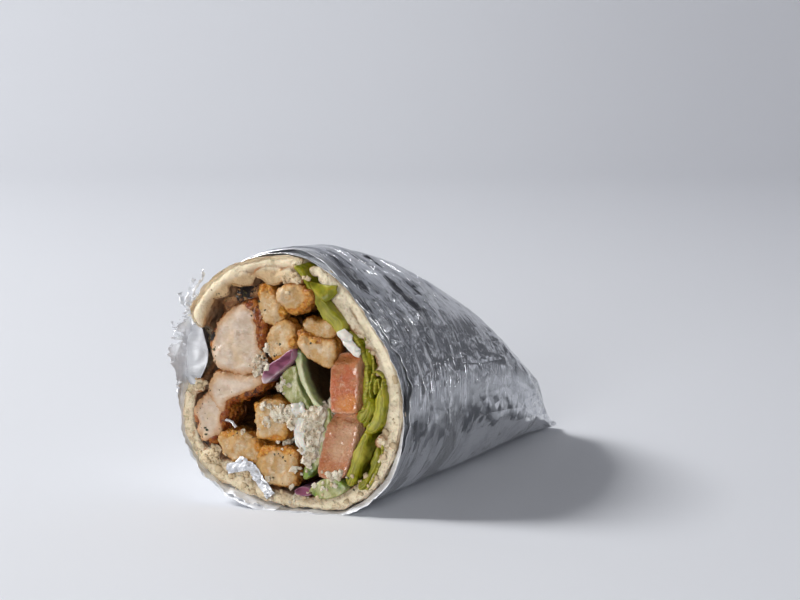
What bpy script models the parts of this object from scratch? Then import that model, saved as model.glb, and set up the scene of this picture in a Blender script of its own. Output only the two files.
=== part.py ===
"""Half of a foil-wrapped pita sandwich, cut across on the slant and lying on its side.

Metres, +Z up. The roll lies along Y on z = 0, with its cut face towards -Y and its
folded foil tail towards +Y. Each piece is an outline drawn on the cut face and carried
back along the roll, which narrows towards the tail, so neighbours never cross.
"""

import math

import bpy
from mathutils import Vector

MM = 0.001

# Driving dimensions, in millimetres, and angles in radians.
ROLL_LENGTH = 142.0  # from the cut face to the end of the foil tail
BREAD_LENGTH = 104.0
FILLING_LENGTH = 96.0
MOUTH_HALF_WIDTH = 36.5
CENTRE_HEIGHT = 37.4  # of the cut face over the flat spot that the roll rests on
BREAD_THICK = 5.8
FOIL_THICK = 0.5  # two layers pressed together, with the air between them
GAP = 0.45  # kept between neighbours
CUT_BIAS = math.radians(10)  # how far the cut face turns towards +X
CUT_LEAN = math.radians(9)  # how far its top leans back
TAIL_HEIGHT_SHARE = 0.17  # the tail's height over the mouth's
TAIL_WIDTH_SHARE = 0.66

# The mouth's outline: a mean radius and three waves round it, each (depth, angle of a crest).
MOUTH_RADIUS = 38.7
OVAL = (2.7, math.radians(118))
EGG = (1.7, math.radians(-23))
SQUARE = (1.5, math.radians(30))

# The pita is one sheet rolled once round the filling. Its two ends meet at the top.
SEAM_ANGLE = math.radians(90)  # of its upper end
SEAM_SIDES = 2  # left open there, of the ROUND_SIDES
TEAR_ANGLE = math.radians(164)  # where the rim of the pita is torn back
TEAR_SPREAD = math.radians(11)
TEAR_DEPTH = 8.0
# Where the pita is thicker or thinner than BREAD_THICK: (change, angle, spread).
BREAD_CHANGES = (
    (1.6, math.radians(101), math.radians(7)),  # its upper end curls in
    (-1.2, math.radians(74), math.radians(14)),  # its other end thins out
    (-2.6, math.radians(-160), math.radians(30)),  # the side away from the seam
    (-1.3, math.radians(-98), math.radians(26)),  # pressed flat under the filling
    (-1.0, math.radians(-42), math.radians(20)),
)

# The foil's front edge: set back at the top, and loose and flared beside the tear.
RIM_SET_BACK = 2.4
RIM_TOP_ANGLE = math.radians(95)
RIM_TOP_SPREAD = math.radians(30)
FLAP_ANGLE = math.radians(162)
FLAP_SPREAD = math.radians(27)
FLAP_REACH = 6.0
FLAP_FLARE = 5.5
SLACK = 1.2  # the foil sags onto the surface below it, beside the roll's lowest line
SLACK_ANGLE = math.radians(-100)
SLACK_SPREAD = math.radians(8)
LAP_START = math.radians(28)  # the sheet's free edge runs along the roll here
LAP_STEP = 0.7
PLEATS = 9
PLEAT_DEPTH = 0.16  # of the radius, at the end of the tail
TAIL_PINCH = 0.55  # the folded end over the ring before it
TAIL_FOLD = 1.5

ROUND_SIDES = 48  # points round the foil and the pita
LUMP_SIDES = 18
FRONT_BEVEL = 0.5  # round the front face of each piece of filling
STATIONS = (5.0, 30.0, 55.0, 77.0, FILLING_LENGTH)  # rings shared by every piece behind the face
TAIL_STATIONS = (105.0, 113.0, 122.0, 130.0, 137.0)

MATERIALS = {
    "foil": ((0.80, 0.81, 0.83), 0.28, 1.0),
    "pita": ((0.76, 0.62, 0.40), 0.85, 0.0),
    "chicken": ((0.72, 0.55, 0.42), 0.55, 0.0),
    "potato": ((0.72, 0.47, 0.20), 0.60, 0.0),
    "onion": ((0.42, 0.16, 0.34), 0.35, 0.0),
    "tomato": ((0.62, 0.20, 0.10), 0.25, 0.0),
    "lettuce": ((0.30, 0.40, 0.06), 0.45, 0.0),
    "cucumber": ((0.55, 0.60, 0.30), 0.30, 0.0),
    "feta": ((0.82, 0.79, 0.68), 0.80, 0.0),
}


def bump(angle, centre, spread):
    """1 at centre, falling to 0 a few spreads away, on a circle."""
    off = math.remainder(angle - centre, math.tau)
    return math.exp(-((off / spread) ** 2))


def ease(start, end, value):
    """0 before start, 1 after end, and smooth between them."""
    t = min(1.0, max(0.0, (value - start) / (end - start)))
    return t * t * (3 - 2 * t)


# --- How the roll narrows, and how a point on the cut face is carried along it ---


def skin_scale(s):
    """Width and height of the roll's skin at s mm behind the cut, as shares of the mouth's."""
    t = max(0.0, s) / ROLL_LENGTH
    return 1 - (1 - TAIL_WIDTH_SHARE) * t**2.5, 1 - (1 - TAIL_HEIGHT_SHARE) * t**2.2


def core_scale(s):
    """The same for the hollow of the pita, which narrows faster because the wall stays as thick."""
    width, height = skin_scale(s)
    wall = BREAD_THICK + FOIL_THICK + GAP
    return (
        (width * MOUTH_HALF_WIDTH - wall) / (MOUTH_HALF_WIDTH - wall),
        (height * CENTRE_HEIGHT - wall) / (CENTRE_HEIGHT - wall),
    )


def cut_depth(x, z):
    """How far behind the cut's centre a point of the cut plane lies, in mm."""
    return x * math.tan(CUT_BIAS) + (z - CENTRE_HEIGHT) * math.tan(CUT_LEAN) / math.cos(CUT_BIAS)


def carried(x, z, s, scale, base):
    """A point of the mouth's cross-section, s mm along the roll: narrowed about x = 0 and z = base."""
    width, height = scale
    slant = 1 - max(0.0, s) / ROLL_LENGTH
    return Vector((x * width, s + cut_depth(x, z) * slant, base + (z - base) * height))


def mouth_radius(angle):
    waves = sum(
        depth * math.cos(k * (angle - crest))
        for k, (depth, crest) in ((2, OVAL), (3, EGG), (4, SQUARE))
    )
    return MOUTH_RADIUS + waves


def bread_thickness(angle):
    return BREAD_THICK + sum(change * bump(angle, at, spread) for change, at, spread in BREAD_CHANGES)


def skin_point(angle, s, depth):
    """A point so many mm under the roll's skin, towards the middle of its own ring."""
    radius = mouth_radius(angle)
    x, z = radius * math.cos(angle), CENTRE_HEIGHT + radius * math.sin(angle)
    scale = skin_scale(s)
    point = carried(x, z, s, scale, 0.0)
    middle = scale[1] * CENTRE_HEIGHT
    inwards = Vector((-point.x, 0, middle - point.z)).normalized()
    point += inwards * depth
    point.z = max(point.z, depth)  # the flat that the roll rests on
    return point


def core_carried(x, z, s):
    return carried(x, z, s, core_scale(s), BREAD_THICK + FOIL_THICK + GAP)


def core_point(angle, s):
    """A point of the pita's inner side."""
    radius = mouth_radius(angle) - FOIL_THICK - GAP - bread_thickness(angle)
    x, z = radius * math.cos(angle), CENTRE_HEIGHT + radius * math.sin(angle)
    return core_carried(x, z, s)


# --- Building meshes from rings of points ---


def make_material(name):
    colour, roughness, metallic = MATERIALS[name]
    material = bpy.data.materials.new(name)
    material.use_nodes = True
    shader = material.node_tree.nodes["Principled BSDF"]
    shader.inputs["Base Color"].default_value = (*colour, 1)
    shader.inputs["Roughness"].default_value = roughness
    shader.inputs["Metallic"].default_value = metallic
    return material


def make_object(name, points, faces, material):
    mesh = bpy.data.meshes.new(name)
    mesh.from_pydata([p * MM for p in points], [], faces)
    mesh.materials.append(material)
    mesh.shade_smooth()
    mesh.set_sharp_from_angle(angle=math.radians(40))
    obj = bpy.data.objects.new(name, mesh)
    bpy.context.scene.collection.objects.link(obj)
    return obj


def loft(rings):
    """(points, faces) through closed rings of equal size, from the front to the back.

    The points of a ring run anticlockwise as seen from the front, at -Y.
    """
    size = len(rings[0])
    points = [p for ring in rings for p in ring]
    faces = []
    for r in range(len(rings) - 1):
        for k in range(size):
            a, b = r * size + k, r * size + (k + 1) % size
            faces.append((a, a + size, b + size, b))
    return points, faces


def capped(rings):
    """A closed solid through the rings, with a flat face on each end ring."""
    points, faces = loft(rings)
    size = len(rings[0])
    faces.append(tuple(range(size)))
    faces.append(tuple(reversed(range(len(points) - size, len(points)))))
    return points, faces


# --- The foil ---


def ragged(angle, depth):
    """A torn edge's wander, in mm."""
    return depth * (
        math.sin(7 * angle + 0.6) + 0.7 * math.sin(17 * angle) + 0.5 * math.sin(29 * angle + 2)
    )


def foil_rim(angle):
    """Where the foil's front edge lies, in mm behind the cut."""
    top = RIM_SET_BACK * bump(angle, RIM_TOP_ANGLE, RIM_TOP_SPREAD)
    flap = FLAP_REACH * bump(angle, FLAP_ANGLE, FLAP_SPREAD)
    return 0.4 + top - flap + ragged(angle, 0.35)


def lap(angle):
    """How far the sheet's last turn stands out: a step at its free edge, which then fades."""
    past_edge = math.remainder(angle - LAP_START, math.tau)
    return LAP_STEP * ease(0, 0.03, past_edge) * (1 - ease(1, 2.4, past_edge))


def foil_ring(s, depth, at_rim=False):
    """One ring of the foil's outer side, or of its inner side where depth is its thickness."""
    ring = []
    for k in range(ROUND_SIDES):
        angle = math.tau * k / ROUND_SIDES
        along = foil_rim(angle) if at_rim else s
        above_flat = ease(-0.95, -0.7, math.sin(angle))
        out = FLAP_FLARE * bump(angle, FLAP_ANGLE, FLAP_SPREAD) * (1 - ease(-4, 12, along))
        if depth == 0:
            out += lap(angle) * above_flat
        point = skin_point(angle, along, depth)
        point += Vector((math.cos(angle), 0, math.sin(angle))) * out
        point.z = max(point.z - SLACK * bump(angle, SLACK_ANGLE, SLACK_SPREAD), depth)
        fold = (0.5 - 0.5 * math.cos(PLEATS * angle + 3 * math.sin(angle))) ** 2
        gather = PLEAT_DEPTH * fold * ease(BREAD_LENGTH, ROLL_LENGTH, along) * above_flat
        point.x *= 1 - gather
        point.z *= 1 - gather
        ring.append(point)
    return ring


def build_foil(material):
    """A tube closed at the tail, where it is folded flat."""
    outer = [foil_ring(0, 0, at_rim=True)]
    outer += [foil_ring(s, 0) for s in (*STATIONS, *TAIL_STATIONS, ROLL_LENGTH)]
    end = outer[-1]
    middle = sum(end, Vector()) / len(end)
    outer.append([middle + (p - middle) * TAIL_PINCH + Vector((0, TAIL_FOLD, 0)) for p in end])
    inner = [foil_ring(0, FOIL_THICK, at_rim=True)]
    inner += [foil_ring(s, FOIL_THICK) for s in (*STATIONS, TAIL_STATIONS[0])]
    # One surface: from the back of the hollow forwards, round the rim, and back to the tail.
    points, faces = capped(list(reversed(inner)) + outer)
    return make_object("foil_wrap", points, faces, material)


# --- The pita ---


def bread_front(angle):
    """Where the pita's cut edge lies, in mm behind the cut: torn back on one side."""
    tear = TEAR_DEPTH * bump(angle, TEAR_ANGLE, TEAR_SPREAD)
    return 0.5 + tear + ragged(angle, 0.25)


def build_pita(material):
    """A sheet rolled once, open at both ends and along the seam at the top."""
    sides = ROUND_SIDES - SEAM_SIDES
    angles = [SEAM_ANGLE + math.tau * k / ROUND_SIDES for k in range(sides + 1)]
    rings = []
    for s in (None, *STATIONS, BREAD_LENGTH):
        along = [bread_front(angle) if s is None else s for angle in angles]
        outer = [skin_point(angle, a, FOIL_THICK + GAP) for angle, a in zip(angles, along)]
        inner = [core_point(angle, a) for angle, a in zip(angles, along)]
        rings.append(outer + list(reversed(inner)))
    points, faces = loft(rings)
    size = len(rings[0])
    back = len(points) - size
    for k in range(sides):
        edge = (k, k + 1, size - 2 - k, size - 1 - k)
        faces.append(edge)
        faces.append(tuple(back + i for i in reversed(edge)))
    return make_object("pita_bread", points, faces, material)


# --- The filling ---


def lump(at, size, turn=0.0, corners=3.0, wedge=0.0, bow=0.0):
    """The outline of a chunk on the cut face, in mm from the face's centre.

    corners is 2 for an ellipse and more for a squarer piece, wedge widens its top,
    and bow bends its middle sideways.
    """
    turn = math.radians(turn)
    outline = []
    for k in range(LUMP_SIDES):
        c, s = math.cos(math.tau * k / LUMP_SIDES), math.sin(math.tau * k / LUMP_SIDES)
        across = size[0] / 2 * math.copysign(abs(c) ** (2 / corners), c)
        up = math.copysign(abs(s) ** (2 / corners), s)
        across = across * (1 + wedge * up) + bow * (0.5 - up * up)
        up *= size[1] / 2
        outline.append(
            (
                at[0] + across * math.cos(turn) - up * math.sin(turn),
                at[1] + across * math.sin(turn) + up * math.cos(turn),
            )
        )
    return outline


def spline(knots, steps):
    """Points on a smooth curve through the knots."""
    ends = [knots[0], *knots, knots[-1]]
    points = []
    for i in range(len(knots) - 1):
        p0, p1, p2, p3 = (Vector(p) for p in ends[i : i + 4])
        for k in range(steps):
            t = k / steps
            bend = (2 * p0 - 5 * p1 + 4 * p2 - p3) * t * t + (3 * p1 - p0 - 3 * p2 + p3) * t**3
            points.append((2 * p1 + (p2 - p0) * t + bend) / 2)
    points.append(Vector(knots[-1]))
    return points


def strip(knots, thick, tip=0.45, steps=3):
    """The outline of a slice or leaf seen on edge, along a smooth curve through the knots."""
    middle = spline(knots, steps)
    left, right = [], []
    for k, point in enumerate(middle):
        ahead = middle[min(k + 1, len(middle) - 1)] - middle[max(k - 1, 0)]
        side = Vector((-ahead.y, ahead.x)).normalized()
        share = k / (len(middle) - 1)
        half = thick / 2 * (tip + (1 - tip) * min(1, 6 * min(share, 1 - share)))
        left.append(tuple(point + side * half))
        right.append(tuple(point - side * half))
    return right + list(reversed(left))


LEAF = [(1.7, 37.2), (6.0, 31.6), (11.8, 24.9), (17.5, 18.6), (23.0, 12.6), (25.9, 5.2), (26.4, -3)]

# Each piece of the filling: its name, its material, its outline and how proud of the cut it stands.
FILLINGS = [
    ("chicken_large", "chicken", lump((-18.3, 14.8), (16.0, 21.4), turn=6, wedge=-0.2), 2.5),
    ("chicken_bent", "chicken", lump((-18.8, -1.2), (16.6, 8.6), turn=12, corners=2.8), 2.0),
    ("chicken_side", "chicken", lump((-26.8, -12.0), (7.4, 12.4), turn=16, corners=2.6), 1.0),
    ("chicken_seared", "chicken", lump((-16.8, 28.3), (9.0, 4.0), turn=14), -4.5),
    ("potato_top", "potato", lump((0.9, 26.9), (9.6, 10.0), turn=-28, corners=2.6), 4.5),
    ("potato_crisp", "potato", lump((-7.9, 26.0), (6.0, 11.6), turn=12, corners=2.4), 2.5),
    ("potato_crescent", "potato", lump((-3.6, 14.9), (7.0, 10.2), turn=-10, bow=1.0), 3.0),
    ("potato_small", "potato", lump((8.2, 19.4), (9.4, 4.8), turn=-14, corners=2.5), 2.5),
    ("potato_slab", "potato", lump((8.2, 12.3), (11.6, 6.8), turn=-30, corners=3.4), 4.0),
    ("potato_middle", "potato", lump((-7.4, -10.0), (10.8, 12.6), turn=-8, corners=3.2), 1.5),
    ("potato_left", "potato", lump((-16.4, -18.8), (12.4, 8.4), turn=-22, corners=3), 2.0),
    ("potato_bottom", "potato", lump((-3.9, -24.0), (11.8, 11.6), turn=-4, corners=3.6), 2.0),
    ("onion_slice", "onion", strip([(-8.6, 3.4), (-4.4, 6.0), (0.0, 8.5)], 3.9, tip=0.8), 3.0),
    ("onion_chip", "onion", strip([(2.8, -31.2), (5.0, -31.5), (7.2, -31.3)], 1.6), 0.5),
    ("cucumber_wedge", "cucumber", strip([(0.8, 4.4), (0.6, -0.5), (3.2, -6.0)], 3.2, tip=0.5), 0.5),
    ("cucumber_arc", "cucumber", strip([(3.4, 9.6), (5.0, 2.5), (10.2, -6.0)], 2.8, tip=0.7), 2.0),
    ("cucumber_edge", "cucumber", strip([(10.2, -8.4), (8.9, -17), (6.2, -28)], 3.2, tip=0.6), 1.5),
    ("cucumber_end", "cucumber", lump((13.8, -30.4), (8.4, 3.8), turn=8, corners=2.4), 1.5),
    ("feta_crumble", "feta", lump((3.0, -13.4), (7.4, 11.6), turn=12, corners=2.2, wedge=0.2), 2.0),
    ("tomato_upper", "tomato", lump((18.2, 2.0), (9.4, 17.0), turn=-2, corners=5), 2.5),
    ("tomato_lower", "tomato", lump((16.3, -17.2), (9.0, 19.4), turn=-5, corners=4), 1.5),
    ("lettuce_leaf", "lettuce", strip(LEAF, 2.2), 0.5),
    ("lettuce_ruffle", "lettuce", strip([(29.2, 0), (28.8, -5), (29.2, -9.5), (28.2, -14)], 2.4), 0.5),
    ("lettuce_fold", "lettuce", strip([(25, -9.5), (24, -16), (22.0, -23), (19.9, -29.4)], 2.6), 1.5),
    ("lettuce_frill", "lettuce", strip([(27.6, -18), (26.2, -21.5), (24.0, -26.5)], 1.8), 1.0),
]


def on_section(outline):
    """The outline's points in the roll's cross-section, seen square to the roll."""
    bias, lean = math.cos(CUT_BIAS), math.cos(CUT_LEAN)
    return [(x * bias, CENTRE_HEIGHT + z * lean) for x, z in outline]


def inset(outline, by):
    """The outline moved in by so many mm, square to its own edges."""
    inner = []
    for k, (x, z) in enumerate(outline):
        (ax, az), (bx, bz) = outline[k - 1], outline[(k + 1) % len(outline)]
        length = math.hypot(bx - ax, bz - az)
        inner.append((x - by * (bz - az) / length, z + by * (bx - ax) / length))
    return inner


def build_filling(name, outline, proud, material):
    """A chunk, slice or leaf that runs back through the roll from its own front face."""
    across = on_section(outline)
    sections = [(-proud, inset(across, FRONT_BEVEL)), (2 * FRONT_BEVEL - proud, across)]
    sections += [(s, across) for s in STATIONS if s > 2 - proud]
    rings = [[core_carried(x, z, s) for x, z in section] for s, section in sections]
    points, faces = capped(rings)
    return make_object(name, points, faces, material)


def centre_on_floor(objects):
    """Moves the origin to the middle of the whole thing's footprint."""
    corners = [v.co for obj in objects for v in obj.data.vertices]
    low = [min(c[i] for c in corners) for i in range(3)]
    high = [max(c[i] for c in corners) for i in range(3)]
    shift = Vector((-(low[0] + high[0]) / 2, -(low[1] + high[1]) / 2, -low[2]))
    for obj in objects:
        for vertex in obj.data.vertices:
            vertex.co += shift
    print("centred by", [round(v / MM, 2) for v in shift], "mm")


def main():
    for obj in list(bpy.data.objects):
        bpy.data.objects.remove(obj)
    materials = {name: make_material(name) for name in MATERIALS}
    pieces = [build_foil(materials["foil"]), build_pita(materials["pita"])]
    for name, material, outline, proud in FILLINGS:
        pieces.append(build_filling(name, outline, proud, materials[material]))
    centre_on_floor(pieces)


main()
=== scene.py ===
# %% [markdown]
# # Half of a pita sandwich in foil
# The sandwich is a flat bread rolled round chicken, fried potato, salad and
# crumbled cheese, wrapped in kitchen foil and cut across. The packed CAD model
# gives the place, the size and the rough shape of every piece. This lesson makes
# each piece look like food: the filling is drawn again as outlines that are lofted
# back along the roll and remeshed, the bread starts from its CAD solid, the foil is
# a new skin round the roll, and the colours come from procedural materials.

# %% Set up
import math
import random

import bpy
import numpy as np
from mathutils import Euler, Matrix, Quaternion, Vector, geometry, kdtree, noise
from mathutils.bvhtree import BVHTree


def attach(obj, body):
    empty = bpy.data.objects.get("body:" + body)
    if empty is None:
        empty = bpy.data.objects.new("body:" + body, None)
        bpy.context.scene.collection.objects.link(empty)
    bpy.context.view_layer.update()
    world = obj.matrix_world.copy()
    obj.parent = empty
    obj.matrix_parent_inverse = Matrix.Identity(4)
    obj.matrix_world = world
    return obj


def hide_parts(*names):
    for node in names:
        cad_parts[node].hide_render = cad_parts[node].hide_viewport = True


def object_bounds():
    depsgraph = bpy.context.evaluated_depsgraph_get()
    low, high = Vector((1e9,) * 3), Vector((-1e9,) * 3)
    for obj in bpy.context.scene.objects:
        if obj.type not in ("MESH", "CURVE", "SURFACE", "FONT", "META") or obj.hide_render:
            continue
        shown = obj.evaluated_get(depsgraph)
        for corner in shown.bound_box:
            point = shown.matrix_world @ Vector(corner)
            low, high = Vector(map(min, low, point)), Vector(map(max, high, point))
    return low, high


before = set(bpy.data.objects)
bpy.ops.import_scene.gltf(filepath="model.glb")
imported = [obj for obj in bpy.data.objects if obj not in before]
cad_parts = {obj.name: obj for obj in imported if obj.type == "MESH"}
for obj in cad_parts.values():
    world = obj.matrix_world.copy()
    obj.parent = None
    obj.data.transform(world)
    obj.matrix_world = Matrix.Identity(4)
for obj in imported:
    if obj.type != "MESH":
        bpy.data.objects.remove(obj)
cad_box = [list(corner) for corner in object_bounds()]
print("CAD nodes:", len(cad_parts), "box in mm:", np.round(np.array(cad_box) * 1000, 1).tolist())

# %% [markdown]
# ## The cut face
# Blender works in metres, but food is easier to think of in millimetres. The roll
# was cut a little on the slant, so the cut face is a tilted plane. Its middle and
# its two slants are all that is needed to place something on it. The middle is
# measured from the left and the front of the box of the CAD model.

# %% Sizes
MM = 0.001
ROLL_LENGTH = 142.0
CENTRE_HEIGHT = 37.4
CUT_BIAS = math.radians(10)
CUT_LEAN = math.radians(9)
FACE_FROM_LEFT, FACE_FROM_FRONT = 39.73, 10.12
low_corner = Vector(cad_box[0]) / MM
FACE = np.array((low_corner.x + FACE_FROM_LEFT, low_corner.y + FACE_FROM_FRONT, CENTRE_HEIGHT))
BIAS_SLOPE = math.tan(CUT_BIAS)
LEAN_SLOPE = math.tan(CUT_LEAN) / math.cos(CUT_BIAS)
CUT_NORMAL = np.array((BIAS_SLOPE, -1.0, LEAN_SLOPE))
CUT_NORMAL /= np.linalg.norm(CUT_NORMAL)
SIDE_TILT, RISE_TILT = 0.083, 0.0665  # how far the slants tilt an upright and a level line


def upright(across, up):
    """A place drawn square and upright, put on the slanted face."""
    return across - SIDE_TILT * up, up + RISE_TILT * across


def on_cut(across, up, proud=0.0):
    """A point on the cut face, in mm: to the right of its middle, above it and in front of it."""
    across, up = upright(across, up)
    x, z = across * math.cos(CUT_BIAS), up * math.cos(CUT_LEAN)
    return FACE + np.array((x, BIAS_SLOPE * x + LEAN_SLOPE * z - proud, z))


print("middle of the cut face, mm:", FACE.round(2), "facing", CUT_NORMAL.round(3))

# %% [markdown]
# ## Camera
# A short telephoto lens close to the table keeps the roll's proportions natural.
# The camera stands to the right of the cut face, so that it sees the filling and
# the foil flank at once. It is placed by working back from the face's middle.

# %% Camera
LENS, SENSOR = 85.0, 36.0
CAMERA_TURN, CAMERA_DIP = math.radians(30), math.radians(8.5)
CAMERA_DISTANCE = 590.0
FACE_RIGHT, FACE_UP = -0.05823, -0.04659  # where the face's middle lies off the view's axis
toward = Vector((-math.sin(CAMERA_TURN), math.cos(CAMERA_TURN), -math.tan(CAMERA_DIP))).normalized()
right = Vector((math.cos(CAMERA_TURN), math.sin(CAMERA_TURN), 0))
camera_data = bpy.data.cameras.new("camera")
camera_data.lens, camera_data.sensor_width = LENS, SENSOR
camera_data.clip_start = 0.01
camera = bpy.data.objects.new("camera", camera_data)
above = right.cross(toward)
offset = (right * FACE_RIGHT + above * FACE_UP + toward) * CAMERA_DISTANCE
camera.location = (Vector(FACE) - offset) * MM
camera.rotation_euler = (math.pi / 2 - CAMERA_DIP, 0, CAMERA_TURN)
bpy.context.scene.collection.objects.link(camera)
bpy.context.scene.camera = camera
print("camera at, mm:", (camera.location / MM).to_tuple(1))

# %% [markdown]
# ## Writing materials as sums
# A procedural material is arithmetic on fields: a number, colour or vector at each
# point of the surface. Two small classes let that arithmetic be written in Python.
# `Field` wraps one socket and turns operators into Math nodes. `Finish` holds one
# material and has one method for every other node.


# %% Fields
class Field:
    """A value that varies over a surface, with Python's operators."""

    def __init__(self, finish, socket):
        self.finish, self.socket = finish, socket

    def math(self, operation, *values):
        return self.finish.node("Math", {"operation": operation}, dict(enumerate(values)))

    def __add__(self, other):
        return self.math("ADD", self, other)

    def __radd__(self, other):
        return self.math("ADD", other, self)

    def __sub__(self, other):
        return self.math("SUBTRACT", self, other)

    def __rsub__(self, other):
        return self.math("SUBTRACT", other, self)

    def __mul__(self, other):
        return self.math("MULTIPLY", self, other)

    def __rmul__(self, other):
        return self.math("MULTIPLY", other, self)


print("fields can be added, subtracted and multiplied")

# %% [markdown]
# Most finishes need the same few nodes: noise, a smooth step between two values, a
# mix of two colours, a bump. Each gets a short method whose sizes are in
# millimetres. Flat facets for foil come from a Voronoi pattern: inside a cell, the
# way from its centre is measured along an arrow that the cell's own colour gives.


# %% Finishes
class Finish:
    """One material. Its places and sizes are in millimetres."""

    def __init__(self, name, **fixed):
        self.material = bpy.data.materials.new(name)
        self.material.use_nodes = True
        self.tree = self.material.node_tree
        self.shader = self.tree.nodes["Principled BSDF"]
        for socket, value in fixed.items():
            label = socket.replace("_", " ").title().replace("Ior", "IOR")
            self.shader.inputs[label].default_value = value
        place = self.node("TexCoord", {}, {}, "Object")
        self.place = self.node("VectorMath", {"operation": "SCALE"}, {0: place, "Scale": 1 / MM})

    def node(self, kind, settings, inputs, output=0):
        """Adds a node, links or sets its inputs, and gives one of its outputs back."""
        made = self.tree.nodes.new("ShaderNode" + kind)
        for name, value in settings.items():
            setattr(made, name, value)
        for name, value in inputs.items():
            if isinstance(value, Field):
                self.tree.links.new(value.socket, made.inputs[name])
            else:
                made.inputs[name].default_value = value
        return Field(self, made.outputs[output])

    def mark(self, name):
        """A number that is written on the points of the mesh."""
        return self.node("Attribute", {"attribute_name": name}, {}, "Fac")

    def stretched(self, scale, turn=(0, 0, 0), place=None):
        """Places turned and scaled: a scale under 1 draws a pattern out along that axis."""
        inputs = {"Vector": place or self.place, "Rotation": turn, "Scale": scale}
        return self.node("Mapping", {}, inputs)

    def noise(self, size, detail=2.0, roughness=0.5, place=None):
        """Cloudy noise from 0 to 1, with patches of about this size."""
        inputs = {"Scale": 1 / size, "Detail": detail, "Roughness": roughness}
        return self.node("TexNoise", {}, {"Vector": place or self.place, **inputs}, "Fac")

    def blisters(self, size):
        """How far a point is from the middle of its cell: low in round spots."""
        return self.node("TexVoronoi", {}, {"Vector": self.place, "Scale": 1 / size}, "Distance")

    def facets(self, size, place=None):
        """Heights in mm of crumpled facets: each is flat and has its own tilt."""
        inputs = {0: place or self.place, "Scale": 1 / size}
        spot = self.node("VectorMath", {"operation": "SCALE"}, inputs)
        cell = self.node("TexVoronoi", {}, {"Vector": spot, "Scale": 1.0}, "Position")
        tint = self.node("TexVoronoi", {}, {"Vector": spot, "Scale": 1.0}, "Color")
        off = self.node("VectorMath", {"operation": "SUBTRACT"}, {0: spot, 1: cell})
        tilt = self.node("VectorMath", {"operation": "SUBTRACT"}, {0: tint, 1: (0.5, 0.5, 0.5)})
        return self.node("VectorMath", {"operation": "DOT_PRODUCT"}, {0: off, 1: tilt}, "Value") * size

    def painted_depth_shade(self, colour, start=3.0, end=13.0, most=0.9):
        """Paints shade over a colour: the further a point lies behind the cut, the darker, as if the
        gaps in the filling were in shadow.
        """
        deep = self.ease(self.mark("behind"), start, end)
        return self.mix(colour, (0.035, 0.014, 0.006), deep * most)

    def ease(self, value, start, end, low=0.0, high=1.0):
        """low before start, high after end, and smooth between them."""
        inputs = {"Value": value, "From Min": start, "From Max": end, "To Min": low, "To Max": high}
        return self.node("MapRange", {"interpolation_type": "SMOOTHSTEP"}, inputs)

    def mix(self, under, over, share):
        """Two colours, with share of the one over the other."""
        inputs = {0: share, 6: under, 7: over}
        for key in (6, 7):
            if not isinstance(inputs[key], Field):
                inputs[key] = (*inputs[key], 1)
        return self.node("Mix", {"data_type": "RGBA"}, inputs, 2)

    def bump(self, height, strength=1.0):
        """A relief whose height is in millimetres."""
        return self.node("Bump", {}, {"Height": height, "Strength": strength, "Distance": MM})

    def paint(self, **fields):
        """Links fields to the shader's inputs and gives the material back."""
        for name, value in fields.items():
            self.tree.links.new(value.socket, self.shader.inputs[name.replace("_", " ").title()])
        print("finish", self.material.name, "of", len(self.tree.nodes), "nodes")
        return self.material


print("a finish has", ", ".join(name for name in vars(Finish) if not name.startswith("_")))

# %% [markdown]
# ## Shaping a piece of food
# Every piece runs back through the roll, which narrows towards its tail. A piece is
# drawn as an outline on the cut face, lofted back along the roll, and remeshed into
# small even squares, so that it can be roughened like clay. Sculpting by hand would
# give the same look, but an outline can be corrected in a moment and made again.
# First come helpers that run Blender's operators and modifiers on one object.


# %% Operators and modifiers
def work_on(obj):
    """Selects one object and nothing else."""
    bpy.ops.object.select_all(action="DESELECT")
    obj.select_set(True)
    bpy.context.view_layer.objects.active = obj


def edit(obj, *steps):
    """Runs edit-mode operators, each given as (operator, settings), on all of the object."""
    work_on(obj)
    bpy.ops.object.mode_set(mode="EDIT")
    bpy.ops.mesh.select_all(action="SELECT")
    for operator, settings in steps:
        operator(**settings)
    bpy.ops.object.mode_set(mode="OBJECT")
    return obj


def apply(obj, kind, **settings):
    """Adds a modifier and applies it."""
    work_on(obj)
    modifier = obj.modifiers.new(kind.title(), kind)
    for name, value in settings.items():
        setattr(modifier, name, value)
    bpy.ops.object.modifier_apply(modifier=modifier.name)
    return obj


def join(objects):
    """Makes one object of many."""
    if len(objects) == 1:
        return objects[0]
    bpy.ops.object.select_all(action="DESELECT")
    for obj in objects:
        obj.select_set(True)
    bpy.context.view_layer.objects.active = objects[0]
    bpy.ops.object.join()
    return objects[0]


# %% [markdown]
# Shapes are worked out on whole arrays of points, which is quick and keeps each rule
# to one line. A mark is a number written on every point of a mesh. A material can
# read it, so a finish can change with the place on the piece, such as how far a
# point lies behind the cut.


# %% Points and marks
def mesh_object(name, points, faces):
    """A new object from points in mm."""
    mesh = bpy.data.meshes.new(name)
    mesh.from_pydata((np.asarray(points) * MM).tolist(), [], faces)
    obj = bpy.data.objects.new(name, mesh)
    bpy.context.scene.collection.objects.link(obj)
    return obj


def points_of(obj, what="co"):
    """The places in mm, or the normals, of a mesh's points."""
    values = np.empty(len(obj.data.vertices) * 3, np.float32)
    obj.data.vertices.foreach_get(what, values)
    values = values.reshape(-1, 3).astype(float)
    return values / MM if what == "co" else values


def move_points(obj, points):
    """Moves a mesh's points to new places in mm."""
    obj.data.vertices.foreach_set("co", (points * MM).astype(np.float32).ravel())
    obj.data.update()


def smooth_step(value, start, end):
    """0 before start, 1 after end, and smooth between them."""
    share = np.clip((value - start) / (end - start), 0, 1)
    return share * share * (3 - 2 * share)


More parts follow.
